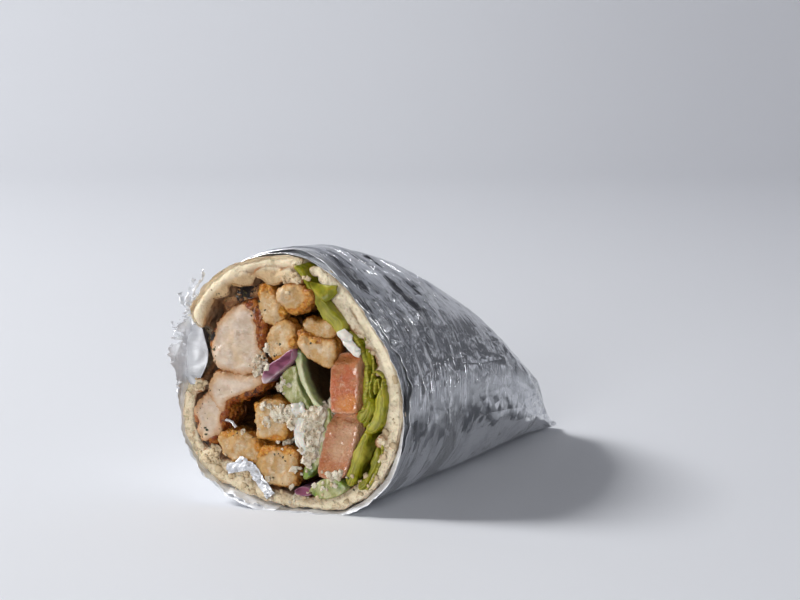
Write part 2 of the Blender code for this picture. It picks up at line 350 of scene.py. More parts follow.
def mark(obj, name, values):
    """Writes a number for each point of the mesh, which a material can read."""
    attribute = obj.data.attributes.get(name) or obj.data.attributes.new(name, "FLOAT", "POINT")
    attribute.data.foreach_set("value", np.asarray(values, np.float32))


def marked(obj, name):
    """The numbers that were written with mark."""
    values = np.empty(len(obj.data.vertices))
    obj.data.attributes[name].data.foreach_get("value", values)
    return values


def group(obj, name, weights, levels=12):
    """A vertex group from an array of weights."""
    made = obj.vertex_groups.new(name=name)
    steps = np.round(np.clip(weights, 0, 1) * levels).astype(int)
    for step in range(1, levels + 1):
        made.add(np.flatnonzero(steps == step).tolist(), step / levels, "REPLACE")


print("half way from 2 to 4:", smooth_step(3.0, 2.0, 4.0))


# %% Copies and tubes
def copied(node, name):
    """A copy of a CAD solid, with its loose triangles merged."""
    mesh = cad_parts[node].data.copy()
    mesh.name = name
    mesh.materials.clear()
    obj = bpy.data.objects.new(name, mesh)
    bpy.context.scene.collection.objects.link(obj)
    return edit(obj, (bpy.ops.mesh.remove_doubles, {"threshold": 0.002 * MM}))


def tube(name, rings, closed_start=False, closed_end=False):
    """A mesh through rings of points, all of one size, from the front to the back."""
    count, size = len(rings), len(rings[0])
    index = np.arange(count * size).reshape(count, size)
    after = np.roll(index, -1, 1)
    faces = np.stack((index[:-1], index[1:], after[1:], after[:-1]), -1).reshape(-1, 4).tolist()
    if closed_start:
        faces.append(index[0].tolist())
    if closed_end:
        faces.append(index[-1][::-1].tolist())
    return mesh_object(name, np.concatenate(rings), faces)


print("the CAD bread has", len(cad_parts["pita_bread"].data.vertices), "loose points")

# %% [markdown]
# `inside` carries a point of the cut face back along the roll. Everything in the
# roll is placed with it, so neighbours that touch at the cut touch all the way.

# %% Places inside the roll
WALL = 6.75  # bread and foil
HALF_WIDTH = 36.5
FILLING_LENGTH = 96.0
WIDTH_LOSS, HEIGHT_LOSS = 0.34, 0.83  # from the mouth to the end of the tail


def narrowing(along):
    """What is left of the roll's width and height, so far behind the cut."""
    share = np.clip(along, 0, None) / ROLL_LENGTH
    return 1 - WIDTH_LOSS * share**2.5, 1 - HEIGHT_LOSS * share**2.2


def inside(across, up, along):
    """Points of the filling, in mm: placed on the cut face and carried so far back."""
    across, up = upright(across, up)
    x, z = across * math.cos(CUT_BIAS), up * math.cos(CUT_LEAN)
    wide, tall = narrowing(along)
    wide = (wide * HALF_WIDTH - WALL) / (HALF_WIDTH - WALL)
    tall = (tall * CENTRE_HEIGHT - WALL) / (CENTRE_HEIGHT - WALL)
    slant = 1 - np.clip(along, 0, None) / ROLL_LENGTH
    y = along + (BIAS_SLOPE * x + LEAN_SLOPE * z) * slant
    z = WALL + (z + CENTRE_HEIGHT - WALL) * tall - CENTRE_HEIGHT
    return FACE + np.stack(np.broadcast_arrays(x * wide, y, z), -1)


print("at the end of the tail the middle lies at, mm:", inside(0.0, 0.0, ROLL_LENGTH).round(1).tolist())

# %% [markdown]
# A piece's outline is a smooth closed curve through a few knots. Its rings are set
# one behind the other and joined into a solid. Then it is remeshed. Its far part is
# squeezed together meanwhile and stretched again afterwards: in this way the squares
# are small at the cut, where they show, and long inside the roll.


# %% Drawing and remeshing
def spline(knots, steps, closed=False):
    """Points on a smooth curve through the knots."""
    knots = [np.array(knot, float) for knot in knots]
    count = len(knots)
    ends = [knots[-1], *knots, knots[0], knots[1]] if closed else [knots[0], *knots, knots[-1]]
    line = []
    for i in range(count if closed else count - 1):
        a, b, c, d = ends[i : i + 4]
        for t in np.arange(steps) / steps:
            bend = (2 * a - 5 * b + 4 * c - d) * t * t + (3 * b - a - 3 * c + d) * t**3
            line.append((2 * b + (c - a) * t + bend) / 2)
    return np.array(line if closed else [*line, knots[-1]])


RING_PLACES = (4, 12, 24, 40, 60, 80)  # in mm behind the cut
FIRST_RING = 0.97  # the first ring is a little smaller, so the piece has a softer rim


def drawn(name, knots, proud, length=FILLING_LENGTH, grow=0.0):
    """A solid that runs back from its outline on the cut face, widened by grow mm."""
    outline = spline(knots, 4, closed=True)
    middle = outline.mean(0)
    reach = outline - middle
    outline = outline + reach / np.linalg.norm(reach, axis=1)[:, None] * grow
    rings = []
    for along in (-proud, *RING_PLACES, length):
        ring = middle + (outline - middle) * (FIRST_RING if along == -proud else 1)
        rings.append(inside(ring[:, 0], ring[:, 1], float(along)))
    obj = tube(name, rings, True, True)
    return edit(obj, (bpy.ops.mesh.normals_make_consistent, {"inside": False}))


SQUEEZE = 12.0  # how many times the far part is shortened while it is remeshed


def remeshed(obj, voxel, keep=14.0, smooth=3, cuts=2):
    """Small even squares at the front, and long ones behind the first keep mm."""
    edit(obj, (bpy.ops.mesh.subdivide, {"number_cuts": cuts}))
    points = points_of(obj)
    start = points[:, 1].min() + keep
    behind = np.maximum(points[:, 1] - start, 0)
    points[:, 1] -= behind * (1 - 1 / SQUEEZE)
    move_points(obj, points)
    apply(obj, "REMESH", mode="VOXEL", voxel_size=voxel * MM, use_smooth_shade=True)
    apply(obj, "SMOOTH", factor=0.5, iterations=smooth)
    points = points_of(obj)
    points[:, 1] += np.maximum(points[:, 1] - start, 0) * (SQUEEZE - 1)
    move_points(obj, points)
    return obj


def roughen(obj, kind, size, height, within="", middle=0.5, **settings):
    """Pushes the surface in and out with a procedural texture. Size and height are in mm."""
    texture = bpy.data.textures.new(kind.lower(), kind)
    texture.noise_scale = size * MM
    for name, value in settings.items():
        setattr(texture, name, value)
    fields = {"texture": texture, "strength": height * MM, "mid_level": middle}
    return apply(obj, "DISPLACE", **fields, vertex_group=within)


print("a remeshed piece is squeezed", SQUEEZE, "times behind its front")

# %% [markdown]
# A cut piece has two surfaces: the fresh cut, and its own outside. They differ in
# colour and in roughness, so the cut is found by the way its points face, and the
# distance from its rim is measured for crusts and outlines. Vertex groups keep a
# displacement to one of the two.


# %% Marks on a cut piece
def nearest_distance(points, others):
    """How far each point is from the nearest of the others."""
    tree = kdtree.KDTree(len(others))
    for index, other in enumerate(others):
        tree.insert(other, index)
    tree.balance()
    return np.array([tree.find(point)[2] for point in points])


def spots(points, places):
    """1 near the places (across, up, radius) on the cut face, and 0 away from them."""
    across = (points[:, 0] - FACE[0]) / math.cos(CUT_BIAS)
    up = (points[:, 2] - FACE[2]) / math.cos(CUT_LEAN)
    total = np.zeros(len(points))
    for x, z, radius in places:
        x, z = upright(x, z)
        total += np.exp(-((across - x) ** 2 + (up - z) ** 2) / radius**2)
    return np.clip(total, 0, 1)


def mark_cut(obj, browned=(), charred=()):
    """Marks the cut face, how far its points are from its rim, and browned and charred places."""
    points, normals = points_of(obj), points_of(obj, "normal")
    ahead = points @ CUT_NORMAL
    behind = ahead.max() - ahead
    cut = smooth_step(normals @ CUT_NORMAL, 0.55, 0.85) * smooth_step(behind, 4.0, 2.5)
    face = cut > 0.5
    near = ~face & (behind < 5)
    rim = np.zeros(len(points))
    if face.any() and near.any():
        rim[face] = nearest_distance(points[face], points[near])
    mark(obj, "cut", cut)
    mark(obj, "rim", rim)
    mark(obj, "behind", behind)
    mark(obj, "browned", spots(points, browned))
    mark(obj, "charred", spots(points, charred))
    group(obj, "face", cut * smooth_step(rim, 0.2, 1.2))
    group(obj, "crust", (1 - cut * smooth_step(rim, 0.3, 1.6)) * smooth_step(behind, 30, 16))
    return obj


def domed(obj, height, width):
    """Rounds a cut piece: its face falls away towards the rim, and its sides start further back."""
    points, rim, cut, behind = points_of(obj), *(marked(obj, name) for name in ("rim", "cut", "behind"))
    face = np.clip(1 - rim / width, 0, 1) ** 2
    points[:, 1] += height * (cut * face + (1 - cut) * smooth_step(behind, 6, 0))
    move_points(obj, points)
    return obj


test_mark = spots(np.array([on_cut(10, 0)]), [(10, 0, 1)])
print("a point in the middle of a marked place gets", test_mark.round(3).tolist())

# %% Handing over a piece
PIECES = []


def finished(obj, node, material, smooth=True):
    """Gives a piece its material and puts it in the frame."""
    obj.vertex_groups.clear()
    obj.data.materials.clear()
    obj.data.materials.append(material)
    if smooth:
        obj.data.shade_smooth()
    else:
        obj.data.shade_flat()
    PIECES.append(obj)
    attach(obj, "root")
    if node:
        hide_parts(node)
    print(obj.name, len(obj.data.polygons), "faces")
    return obj


# %% [markdown]
# ## Chicken
# Grilled chicken is pale and finely fibrous where it is cut, and its outside is
# orange-brown with charred specks. The cut face and the browned outside are one
# surface with two finishes, told apart by the marks that were written on the mesh:
# whether a point lies on the cut, and how far it is from the rim of the cut face.


# %% Chicken finish
MOIST = {"specular_ior_level": 0.3, "subsurface_scale": 0.002}  # dull but a little see-through


def chicken_finish(name, browning=0.0, roasted=(0.43, 0.145, 0.018), deep=(0.24, 0.045, 0.004)):
    """browning moves the crust further over the cut face."""
    flesh = Finish(name, **MOIST, subsurface_weight=0.12, coat_weight=0.2, coat_roughness=0.14)
    cut, rim, patch = flesh.mark("cut"), flesh.mark("rim"), flesh.noise(3.2, 3, 0.6)
    fibre = flesh.noise(1.0, 4, 0.65, flesh.stretched((0.35, 1.0, 1.0), (0.3, 0.5, 0.9)))
    pale = flesh.mix((0.52, 0.39, 0.285), (0.63, 0.51, 0.40), flesh.ease(patch, 0.32, 0.68))
    pale = flesh.mix(pale, (0.52, 0.36, 0.19), flesh.ease(flesh.noise(6.5, 2), 0.50, 0.75) * 0.6)
    pale = flesh.mix(pale, (0.34, 0.21, 0.13), flesh.ease(fibre, 0.56, 0.74) * 0.5)
    ragged = 1.1 * flesh.noise(2.4, 5, 0.72) + 0.9 * flesh.noise(0.7, 2, 0.5)
    edge = rim + ragged - 1.0 - browning - flesh.mark("browned") * 3.0
    crust = 1 - flesh.ease(edge, 0.0, 0.6) * cut
    golden = flesh.mix(roasted, deep, flesh.ease(flesh.noise(2.0, 4, 0.6), 0.38, 0.6))
    golden = flesh.mix(golden, (0.09, 0.02, 0.005), flesh.ease(flesh.noise(3.0, 5, 0.7), 0.53, 0.66))
    char = flesh.ease(flesh.noise(1.1, 5, 0.7) + flesh.mark("charred") * 0.3, 0.58, 0.66)
    golden = flesh.mix(golden, (0.016, 0.010, 0.008), char)
    blush = flesh.ease(edge, 0.1, 3.0, 1.0, 0.0) * cut
    colour = flesh.mix(pale, (0.46, 0.22, 0.07), blush * 0.8)
    # Painted shade: darker behind the cut.
    colour = flesh.painted_depth_shade(flesh.mix(colour, golden, crust))
    relief = fibre * 0.35 + flesh.noise(0.5, 3, 0.6) * 0.16 + flesh.noise(1.0, 4, 0.75) * crust * 0.6
    gloss = 0.5 - crust * 0.22 + char * crust * 0.2
    return flesh.paint(base_color=colour, roughness=gloss, normal=flesh.bump(relief))


CHICKEN = chicken_finish("grilled_chicken")
SEARED_CHICKEN = chicken_finish("seared_chicken", 9.0, (0.42, 0.22, 0.09), (0.24, 0.10, 0.04))

# %% [markdown]
# The relief is made in steps from coarse to fine, as a cook would see it: the cut
# face sags a little between its fibres, deeper tears open along them, and the
# crust is lumpy. Outlines are in mm across and up from the middle of the face.


# %% Roughened chicken
RIDGES = {"musgrave_type": "RIDGED_MULTIFRACTAL", "noise_intensity": 0.7}


def make_chicken(node, proud, knots, browned=(), charred=(), material=CHICKEN):
    """A chunk with fibres on its cut and a lumpy crust."""
    obj = remeshed(drawn(node + "_chunk", knots, proud, grow=0.3), voxel=0.42)
    mark_cut(obj, browned, charred)
    domed(obj, height=1.7, width=2.6)
    roughen(obj, "CLOUDS", 8.0, 3.0, "face")
    roughen(obj, "MUSGRAVE", 4.5, -0.45, "face", 0.4, **RIDGES)
    roughen(obj, "CLOUDS", 3.0, 1.7, "crust", 0.35)
    roughen(obj, "CLOUDS", 1.1, 1.3, "crust", 0.45, noise_depth=3)
    roughen(obj, "CLOUDS", 0.8, 0.14, "face", noise_depth=3)
    return finished(obj, node, material)


print("ready:", make_chicken.__doc__)

# %% Chunks of chicken
# Each is (node, how proud, outline, browned places, charred places, and a finish of its own if any).
CHUNKS = (
    (
        "chicken_large",
        2.5,
        [
            (-23.8, 21.1), (-18.8, 25.6), (-13.3, 27.6), (-9.2, 26.6), (-7.9, 20.6), (-8.3, 14.1),
            (-7.9, 8.1), (-12.3, 4.6), (-18.8, 4.6), (-24.3, 7.1), (-26.5, 12.6), (-26, 17.6),
        ],
        [
            (-11.4, 26, 2.4), (-10.4, 21.7, 2.2), (-9.2, 17.6, 2.0), (-8.2, 14, 1.6), (-27.4, 17, 2.2),
            (-27.6, 12.5, 1.6),
        ],
        [(-25.5, 16.5, 1.6), (-8.4, 11, 1.5)],
    ),
    (
        "chicken_bent",
        2.0,
        [
            (-27.3, 1.5), (-24.9, 5), (-19.7, 5.2), (-14.2, 4.4), (-9.5, 4.8), (-8.1, 1.8),
            (-10.5, -1.4), (-15.7, -3.2), (-19.9, -4.6), (-21.5, -7.7), (-25.4, -6.2), (-27.2, -2.2),
        ],
        [(-13, -3.4, 3.0), (-18, -5.5, 2.8), (-9, -0.5, 1.6)],
        [(-10, -3, 2.0)],
    ),
    (
        "chicken_side",
        1.5,
        [
            (-32.8, -8.1), (-31.3, -4.3), (-28.1, -1.9), (-24.5, -1.7), (-21.7, -3.7), (-20.9, -7.7),
            (-21.9, -11.3), (-24.1, -15.1), (-26.3, -17.9), (-29.5, -17.1), (-31.7, -12.9),
        ],
        [(-21.5, -9, 2.4), (-26, -17, 2.0), (-31.5, -10, 1.6)],
        [(-31.5, -13.5, 3.0), (-29, -17.5, 2.2)],
    ),
    (
        "chicken_seared",
        -1.5,
        [
            (-23.8, 21.7), (-25, 26.2), (-23.2, 30.2), (-19.7, 32.4), (-14.7, 33), (-10, 31.8),
            (-8.6, 29), (-11, 26.6), (-15.7, 25.4), (-20.2, 22.2),
        ],
        (),
        [(-16.5, 30.4, 3.2)],
        SEARED_CHICKEN,
    ),
)
for node, proud, knots, *finish in CHUNKS:
    make_chicken(node, proud, knots, *finish)

# %% [markdown]
# ## Fried potato
# A fry is mealy and cream-coloured inside, with a thin golden skin that blisters.
# The finish works as the chicken's does, with a thinner and more even rim.


# %% Potato finish
potato = Finish("fried_potato", **MOIST, subsurface_weight=0.15, coat_weight=0.15, coat_roughness=0.16)
cut, rim = potato.mark("cut"), potato.mark("rim")
patch = potato.noise(4.5, 3, 0.55)
meal = potato.mix((0.50, 0.30, 0.115), (0.56, 0.40, 0.23), potato.ease(patch, 0.40, 0.60))
light, golden_spots = potato.noise(2.6, 4, 0.7), potato.noise(1.6, 4, 0.7)
meal = potato.mix(meal, (0.67, 0.545, 0.385), potato.ease(light, 0.50, 0.68) * 0.7)
meal = potato.mix(meal, (0.50, 0.22, 0.04), potato.ease(golden_spots, 0.52, 0.68) * 0.7)
ragged = 0.8 * potato.noise(1.7, 5, 0.7) + 0.7 * potato.noise(0.6, 2, 0.5)
blotchy = potato.ease(potato.noise(3.4, 2), 0.45, 0.6)
edge = rim + ragged - 0.7 - potato.mark("browned") * 2.6 + blotchy * 0.5
fried = 1 - potato.ease(edge, 0.0, 1.1) * cut
outline = potato.ease(rim + potato.noise(1.2, 3, 0.6), 1.3, 0.6) * 0.75
toasted, dark_spots = potato.noise(2.0, 4, 0.6), potato.noise(1.4, 5, 0.7)
gold = potato.mix((0.62, 0.31, 0.05), (0.46, 0.16, 0.008), potato.ease(toasted, 0.38, 0.6))
gold = potato.mix(gold, (0.16, 0.045, 0.007), potato.ease(dark_spots, 0.54, 0.66) * 0.85)
gold = potato.mix(gold, (0.20, 0.06, 0.006), outline)
blush = potato.ease(edge, 0.2, 2.0, 1.0, 0.0) * cut
colour = potato.mix(meal, (0.56, 0.31, 0.09), blush * 0.65)
# Painted shade: darker behind the cut.
colour = potato.painted_depth_shade(potato.mix(colour, gold, fried), 1.6, 6.5)
relief = potato.noise(0.7, 4, 0.75) * 0.4 + potato.noise(2.4, 3, 0.6) * 0.5
relief = relief + potato.blisters(1.0) * fried * 0.35
POTATO = potato.paint(base_color=colour, roughness=0.58 - fried * 0.25, normal=potato.bump(relief))


# %% Roughened potato
def make_potato(node, proud, knots, browned=()):
    """A fry with a mealy cut and a blistered crust."""
    obj = remeshed(drawn(node + "_fry", knots, proud, grow=0.45), voxel=0.4)
    mark_cut(obj, browned)
    domed(obj, height=1.4, width=2.0)
    roughen(obj, "CLOUDS", 6.0, 2.6, "face")
    roughen(obj, "CLOUDS", 2.0, 0.9, "face", noise_depth=4)
    roughen(obj, "CLOUDS", 2.6, 1.8, "crust", 0.45)
    roughen(obj, "CLOUDS", 0.9, 0.8, "crust", 0.45, noise_depth=2)
    return finished(obj, node, POTATO)


print("ready:", make_potato.__doc__)

# %% Fries
# Each is (node, how proud, outline, browned places).
FRIES = (
    (
        "potato_top",
        4.5,
        [
            (-2.8, 29.9), (-1.2, 31.7), (1.6, 32.5), (5.3, 31.7), (8.6, 29.9), (9.3, 27.5), (7.8, 25),
            (4.7, 23.5), (1.6, 23.8), (-0.9, 26.4),
        ],
        [(7.5, 26.2, 3.6), (3, 23.8, 1.8)],
    ),
    (
        "potato_crisp",
        2.5,
        [
            (-9.9, 30.7), (-8.1, 33.4), (-5.5, 32.7), (-4.7, 30.4), (-2.2, 27.5), (-0.7, 23.4),
            (-2.5, 20.4), (-5.6, 19.8), (-8.6, 22.3), (-9.5, 26.3),
        ],
        [(-7.5, 32, 3.0), (-1.5, 24, 1.5)],
    ),
    (
        "potato_crescent",
        3.0,
        [
            (-5.4, 19), (-2.3, 21.4), (0.8, 20.8), (2.7, 17.7), (3, 14.3), (1.4, 11.2), (-1.7, 9),
            (-4.9, 9.4), (-6.5, 12.5), (-6.3, 16),
        ],
        [(2, 14.5, 1.6), (-2, 9.8, 1.4)],
    ),
    (
        "potato_small",
        2.5,
        [
            (5, 20.3), (7.3, 21.8), (10.4, 20.8), (13.5, 21), (15.8, 18.8), (15.4, 16.3), (12.9, 15.2),
            (9.2, 15.7), (6, 17.6),
        ],
        [(8, 16.5, 1.6)],
    ),
    (
        "potato_slab",
        4.0,
        [
            (4.2, 17.4), (5.4, 18.4), (7, 17.8), (9.4, 15.8), (12.6, 15.3), (16, 15), (16.8, 12),
            (15.4, 7.2), (13.8, 6.7), (11.6, 8), (7.8, 9.8), (5.4, 12.4),
        ],
        [(5.0, 17.2, 1.8), (10.5, 15.6, 1.5)],
    ),
    (
        "potato_middle",
        1.5,
        [
            (-11.9, -5.6), (-9.2, -3.9), (-5.5, -3.4), (-2, -4.4), (-1.2, -7.9), (-0.7, -11.9),
            (-0.4, -14.8), (-3.1, -16.8), (-6.8, -16.5), (-10.7, -15), (-11.2, -10.2),
        ],
        [(-4, -15.8, 3.2), (-11, -5, 1.6)],
    ),
    (
        "potato_left",
        2.0,
        [
            (-24, -15.3), (-20.7, -13.1), (-16.4, -13.4), (-12.7, -15.1), (-9.4, -17.1), (-9.4, -20),
            (-10.3, -22.9), (-14.5, -23.3), (-18.2, -22.8), (-22, -20),
        ],
        [(-19.5, -14, 2.2), (-14, -23, 3.0), (-10, -18, 1.5)],
    ),
    (
        "potato_bottom",
        2.0,
        [
            (-10.3, -20), (-7.9, -18), (-3.6, -18), (0.1, -18.3), (2.7, -19.8), (2.8, -24.6),
            (2.3, -29.3), (-0.5, -30.6), (-5.5, -30), (-9, -28.2), (-10.6, -24),
        ],
        [(-7, -20, 3.4), (0, -19, 2.0), (-8, -28, 1.6)],
    ),
)
for node, proud, knots, browned in FRIES:
    make_potato(node, proud, knots, browned)

# %% [markdown]
# ## Onion, cucumber and tomato
# These are wet and smooth, so the finish does the work: low roughness, a little
# light passing under the surface, and colour that changes from skin to middle. The
# shapes need only a slight unevenness, so that no edge looks machined.


# %% Wet pieces
def make_wet(node, ending, slot, material, proud, knots, wave=0.6, grain=0.15):
    """A smooth piece: wave is its broad unevenness and grain its fine one, in mm."""
    obj = remeshed(drawn(node + ending, knots, proud, grow=0.2), voxel=0.42, smooth=5)
    mark_cut(obj)
    roughen(obj, "CLOUDS", 5.0, wave, middle=0.4)
    roughen(obj, "CLOUDS", 1.2, grain, noise_depth=3)
    return finished(obj, node, material)


print("ready:", make_wet.__doc__)

# %% [markdown]
# Red onion is purple at its skins and pale where a layer is thick. A stretched noise
# gives the layers, and the rim of the cut face takes the deepest purple.

# %% Onion
onion = Finish("red_onion", **MOIST, roughness=0.28, subsurface_weight=0.2)
layer = onion.noise(2.4, 2, 0.5, onion.stretched((0.3, 1, 1), (0, -0.5, 0)))
purple = onion.mix((0.10, 0.022, 0.045), (0.22, 0.06, 0.11), onion.ease(layer, 0.4, 0.6))
ring = onion.ease(onion.mark("rim"), 0.0, 0.6)
tint = onion.mix((0.32, 0.16, 0.22), purple, ring * onion.mark("cut"))
tint = onion.mix(tint, (0.66, 0.60, 0.60), onion.mark("white") * 0.9)
tint = onion.mix(tint, (0.12, 0.02, 0.06), onion.ease(onion.mark("behind"), 0.8, 3.0) * 0.8)
# Painted shade: darker behind the cut.
ONION = onion.paint(base_color=onion.painted_depth_shade(tint), normal=onion.bump(layer * 0.15))
SLICE = [(-7.3, 3.5), (-5.9, 7), (-1.7, 9.7), (2.6, 12.6), (3.4, 9.6), (-1.7, 5.4), (-6.2, 2)]
piece = make_wet("onion_slice", "_piece", "onion", ONION, 4.2, SLICE)
mark(piece, "white", spots(points_of(piece), [(-7.5, 2.5, 1.6), (-4.5, 2.4, 1.2), (-1.5, 4.6, 1.0)]))
CHIP = [(2, -31.7), (4.4, -30.6), (7.3, -31.2), (7.6, -32.9), (5, -33.4), (2.7, -33)]
make_wet("onion_chip", "_piece", "onion", ONION, 1.0, CHIP, 0.3)

# %% [markdown]
# Cucumber has a dark thin peel, pale juicy flesh and a soft middle with seeds. Each
# piece shows the peel in another place, so it is a mark on the mesh and not a rule
# about the rim.

# %% Cucumber
cucumber = Finish("cucumber", roughness=0.3, subsurface_weight=0.3, subsurface_scale=0.003)
wet = cucumber.noise(3.5, 3, 0.6)
seeds = cucumber.noise(1.5, 3, 0.6, cucumber.stretched((1, 0.5, 0.3), (0, 0.5, 0)))
pulp = cucumber.mix((0.25, 0.26, 0.07), (0.45, 0.43, 0.21), cucumber.ease(wet, 0.42, 0.58))
pulp = cucumber.mix(pulp, (0.60, 0.57, 0.36), cucumber.ease(seeds, 0.50, 0.62) * 0.8)
mottled = cucumber.ease(cucumber.noise(1.1, 4, 0.7), 0.56, 0.70)
pulp = cucumber.mix(pulp, (0.20, 0.21, 0.06), mottled * 0.5)
striped = cucumber.ease(cucumber.noise(2.0), 0.4, 0.6)
peel = cucumber.mix((0.18, 0.27, 0.02), (0.05, 0.10, 0.012), striped)
pulp = cucumber.mix(pulp, (0.60, 0.59, 0.38), cucumber.mark("light") * 0.85)
flesh_share = cucumber.ease(cucumber.mark("rim") + wet * 0.6, 0.1, 0.8) * cucumber.mark("cut")
flesh_tint = cucumber.mix(cucumber.mix(peel, pulp, 0.45), pulp, flesh_share)
CUCUMBER = cucumber.paint(
    # Painted shade: darker behind the cut.
    base_color=cucumber.painted_depth_shade(cucumber.mix(flesh_tint, peel, cucumber.mark("peel")), 1.6, 4.2, 0.97),
    normal=cucumber.bump(cucumber.noise(0.9, 3) * 0.2),
)
CUCUMBERS = (
    (
        "cucumber_arc",
        2.0,
        [
            (2.4, 11.6), (3.2, 7.4), (4.8, 2.3), (7.4, -2.6), (10.2, -6.4), (11.8, -5.9), (8.4, -1.8),
            (6.3, 3), (5.2, 7.2), (4.9, 11.6),
        ],
        [(3.5, 11, 2.2)],
    ),
    (
        "cucumber_wedge",
        0.5,
        [
            (-3.3, 3.3), (-0.2, 6.6), (2.4, 6.6), (2.6, 2.4), (4.3, -1.7), (7, -6), (3.8, -7.4),
            (0, -4.5), (-2.9, -0.5),
        ],
        [],
    ),
    (
        "cucumber_edge",
        0.4,
        [
            (10.8, -7), (13.7, -6.8), (13, -13.7), (11.6, -18.9), (10, -23.4), (7, -27.5), (4.6, -28.4),
            (4.8, -24.9), (7, -20.9), (8.3, -16), (9.7, -10.8),
        ],
        [(6.5, -26.5, 3.2)],
    ),
    (
        "cucumber_end",
        1.5,
        [
            (7.3, -31.3), (10.5, -28.6), (14.8, -27.6), (18.3, -29.2), (19.4, -31.3), (16, -33.4),
            (11.7, -34), (8.4, -33),
        ],
        [(17.5, -29.5, 1.8), (9.5, -33, 1.5)],
    ),
)
for node, proud, knots, peeled in CUCUMBERS:
    piece = make_wet(node, "_piece", "cucumber", CUCUMBER, proud, knots)
    mark(piece, "peel", spots(points_of(piece), peeled))
    mark(piece, "light", np.full(len(piece.data.vertices), float("arc" in node)))

# %% [markdown]
# A thick tomato slice is seen on its cut flesh: coarse and wet, paler at its edge and
# more orange round the seeds. A strong clear coat makes the wet shine, and the bump
# breaks it up into small lights.

# %% Tomato
tomato = Finish(
    "tomato", subsurface_weight=0.25, subsurface_scale=0.003, coat_weight=0.8, coat_roughness=0.07
)
juice = tomato.noise(5.0, 3, 0.55)
red = tomato.mix((0.46, 0.10, 0.018), (0.52, 0.18, 0.05), tomato.ease(juice, 0.4, 0.62))
red = tomato.mix(red, (0.58, 0.34, 0.19), tomato.mark("pale") * 0.85)
red = tomato.mix(red, (0.60, 0.19, 0.015), tomato.mark("gel"))
red = tomato.mix(red, (0.34, 0.06, 0.01), tomato.ease(tomato.noise(2.2, 4, 0.65), 0.54, 0.68) * 0.5)
red = tomato.mix(red, (0.66, 0.42, 0.28), tomato.ease(tomato.noise(0.7, 3, 0.7), 0.57, 0.66) * 0.7)
red = tomato.mix(red, (0.60, 0.36, 0.24), tomato.ease(tomato.mark("rim"), 0.9, 0.2) * 0.4)
TOMATO = tomato.paint(
    # Painted shade: darker behind the cut.
    base_color=tomato.painted_depth_shade(red, 4.0, 14.0),
    roughness=tomato.ease(juice, 0.4, 0.6, 0.12, 0.34),
    normal=tomato.bump(tomato.noise(0.8, 4, 0.65) * 0.9 + tomato.noise(2.6, 2, 0.5) * 0.9),
)
UPPER = [
    (15, 9.2), (16.2, 10.6), (20, 11), (23.5, 10.2), (23.9, 2.6), (23.6, -3.1), (23.2, -7), (19.6, -7.7),
    (15.2, -7), (14.6, -3.1), (14.6, 3.2),
]
LOWER = [
    (14.6, -7.6), (19.1, -8), (22.7, -7.4), (23.4, -11.4), (22.3, -17.1), (20.5, -22.9), (18.6, -27.3),
    (14.2, -28), (10.4, -27.2), (10.2, -22.9), (11.5, -18.3), (12.9, -12.5),
]
upper = make_wet("tomato_upper", "_slice", "tomato", TOMATO, 2.5, UPPER, 0.7, 0.35)
lower = make_wet("tomato_lower", "_slice", "tomato", TOMATO, 1.5, LOWER, 0.7, 0.3)
for piece, top in ((upper, 11.4), (lower, -7.8)):
    # A slice's upper end is cut away in a slope.
    points = points_of(piece)
    points[:, 1] += 2.6 * smooth_step((points[:, 2] - FACE[2]) / math.cos(CUT_LEAN), top - 2.8, top)
    move_points(piece, points)
    mark(piece, "gel", spots(points, [(19.5, -4.5, 2.4), (22.5, -4.2, 2.6), (22.5, -7.6, 1.6)]))
    mark(piece, "pale", spots(points, [(20.5, -12, 5), (17, -19, 4.5)]))

# %% [markdown]
# ## Crumbled cheese
# Feta breaks into lumps and grains. The largest lump is drawn as the other pieces
# are, and roughened until it looks crumbled. The loose grains come later.

# %% Feta
feta = Finish("feta", roughness=0.6, subsurface_weight=0.08, subsurface_scale=0.001)
curd = feta.mix((0.46, 0.36, 0.24), (0.74, 0.67, 0.54), feta.ease(feta.noise(2.0, 4, 0.6), 0.35, 0.6))
FETA = feta.paint(base_color=curd, normal=feta.bump(feta.noise(0.5, 4, 0.7) * 0.35))
CRUMBLE = [
    (-2, -7.2), (2.2, -5.4), (6.6, -6.4), (10.6, -4.8), (13.6, -6.4), (13, -11), (11.6, -16), (9.8, -21),
    (7, -24.4), (4.6, -22.4), (5.2, -16.6), (5.6, -12.6), (2.6, -11), (-1.6, -10.4),
]
lump = mark_cut(remeshed(drawn("feta_lump", CRUMBLE, proud=2.4), voxel=0.42))
roughen(lump, "CLOUDS", 3.0, 2.6)
roughen(lump, "VORONOI", 2.2, -1.6, middle=0.4)
roughen(lump, "CLOUDS", 0.7, 0.5, noise_depth=3)
finished(lump, "feta_crumble", FETA)

# %% [markdown]
# ## Lettuce
# A leaf is a thin sheet that folds and ruffles, seen here mostly on its cut edge.
# A thin fold is a sheet that follows a curve on the cut face and waves as it goes
# back. Solidify gives it its thickness, and a subdivision rounds its edges. Where
# many layers are pressed together, or the leaf's rib shows, the fold is thick and
# rounded, and is drawn as the other pieces are. Fine fibres run along every fold,
# side by side with the rim of its face.

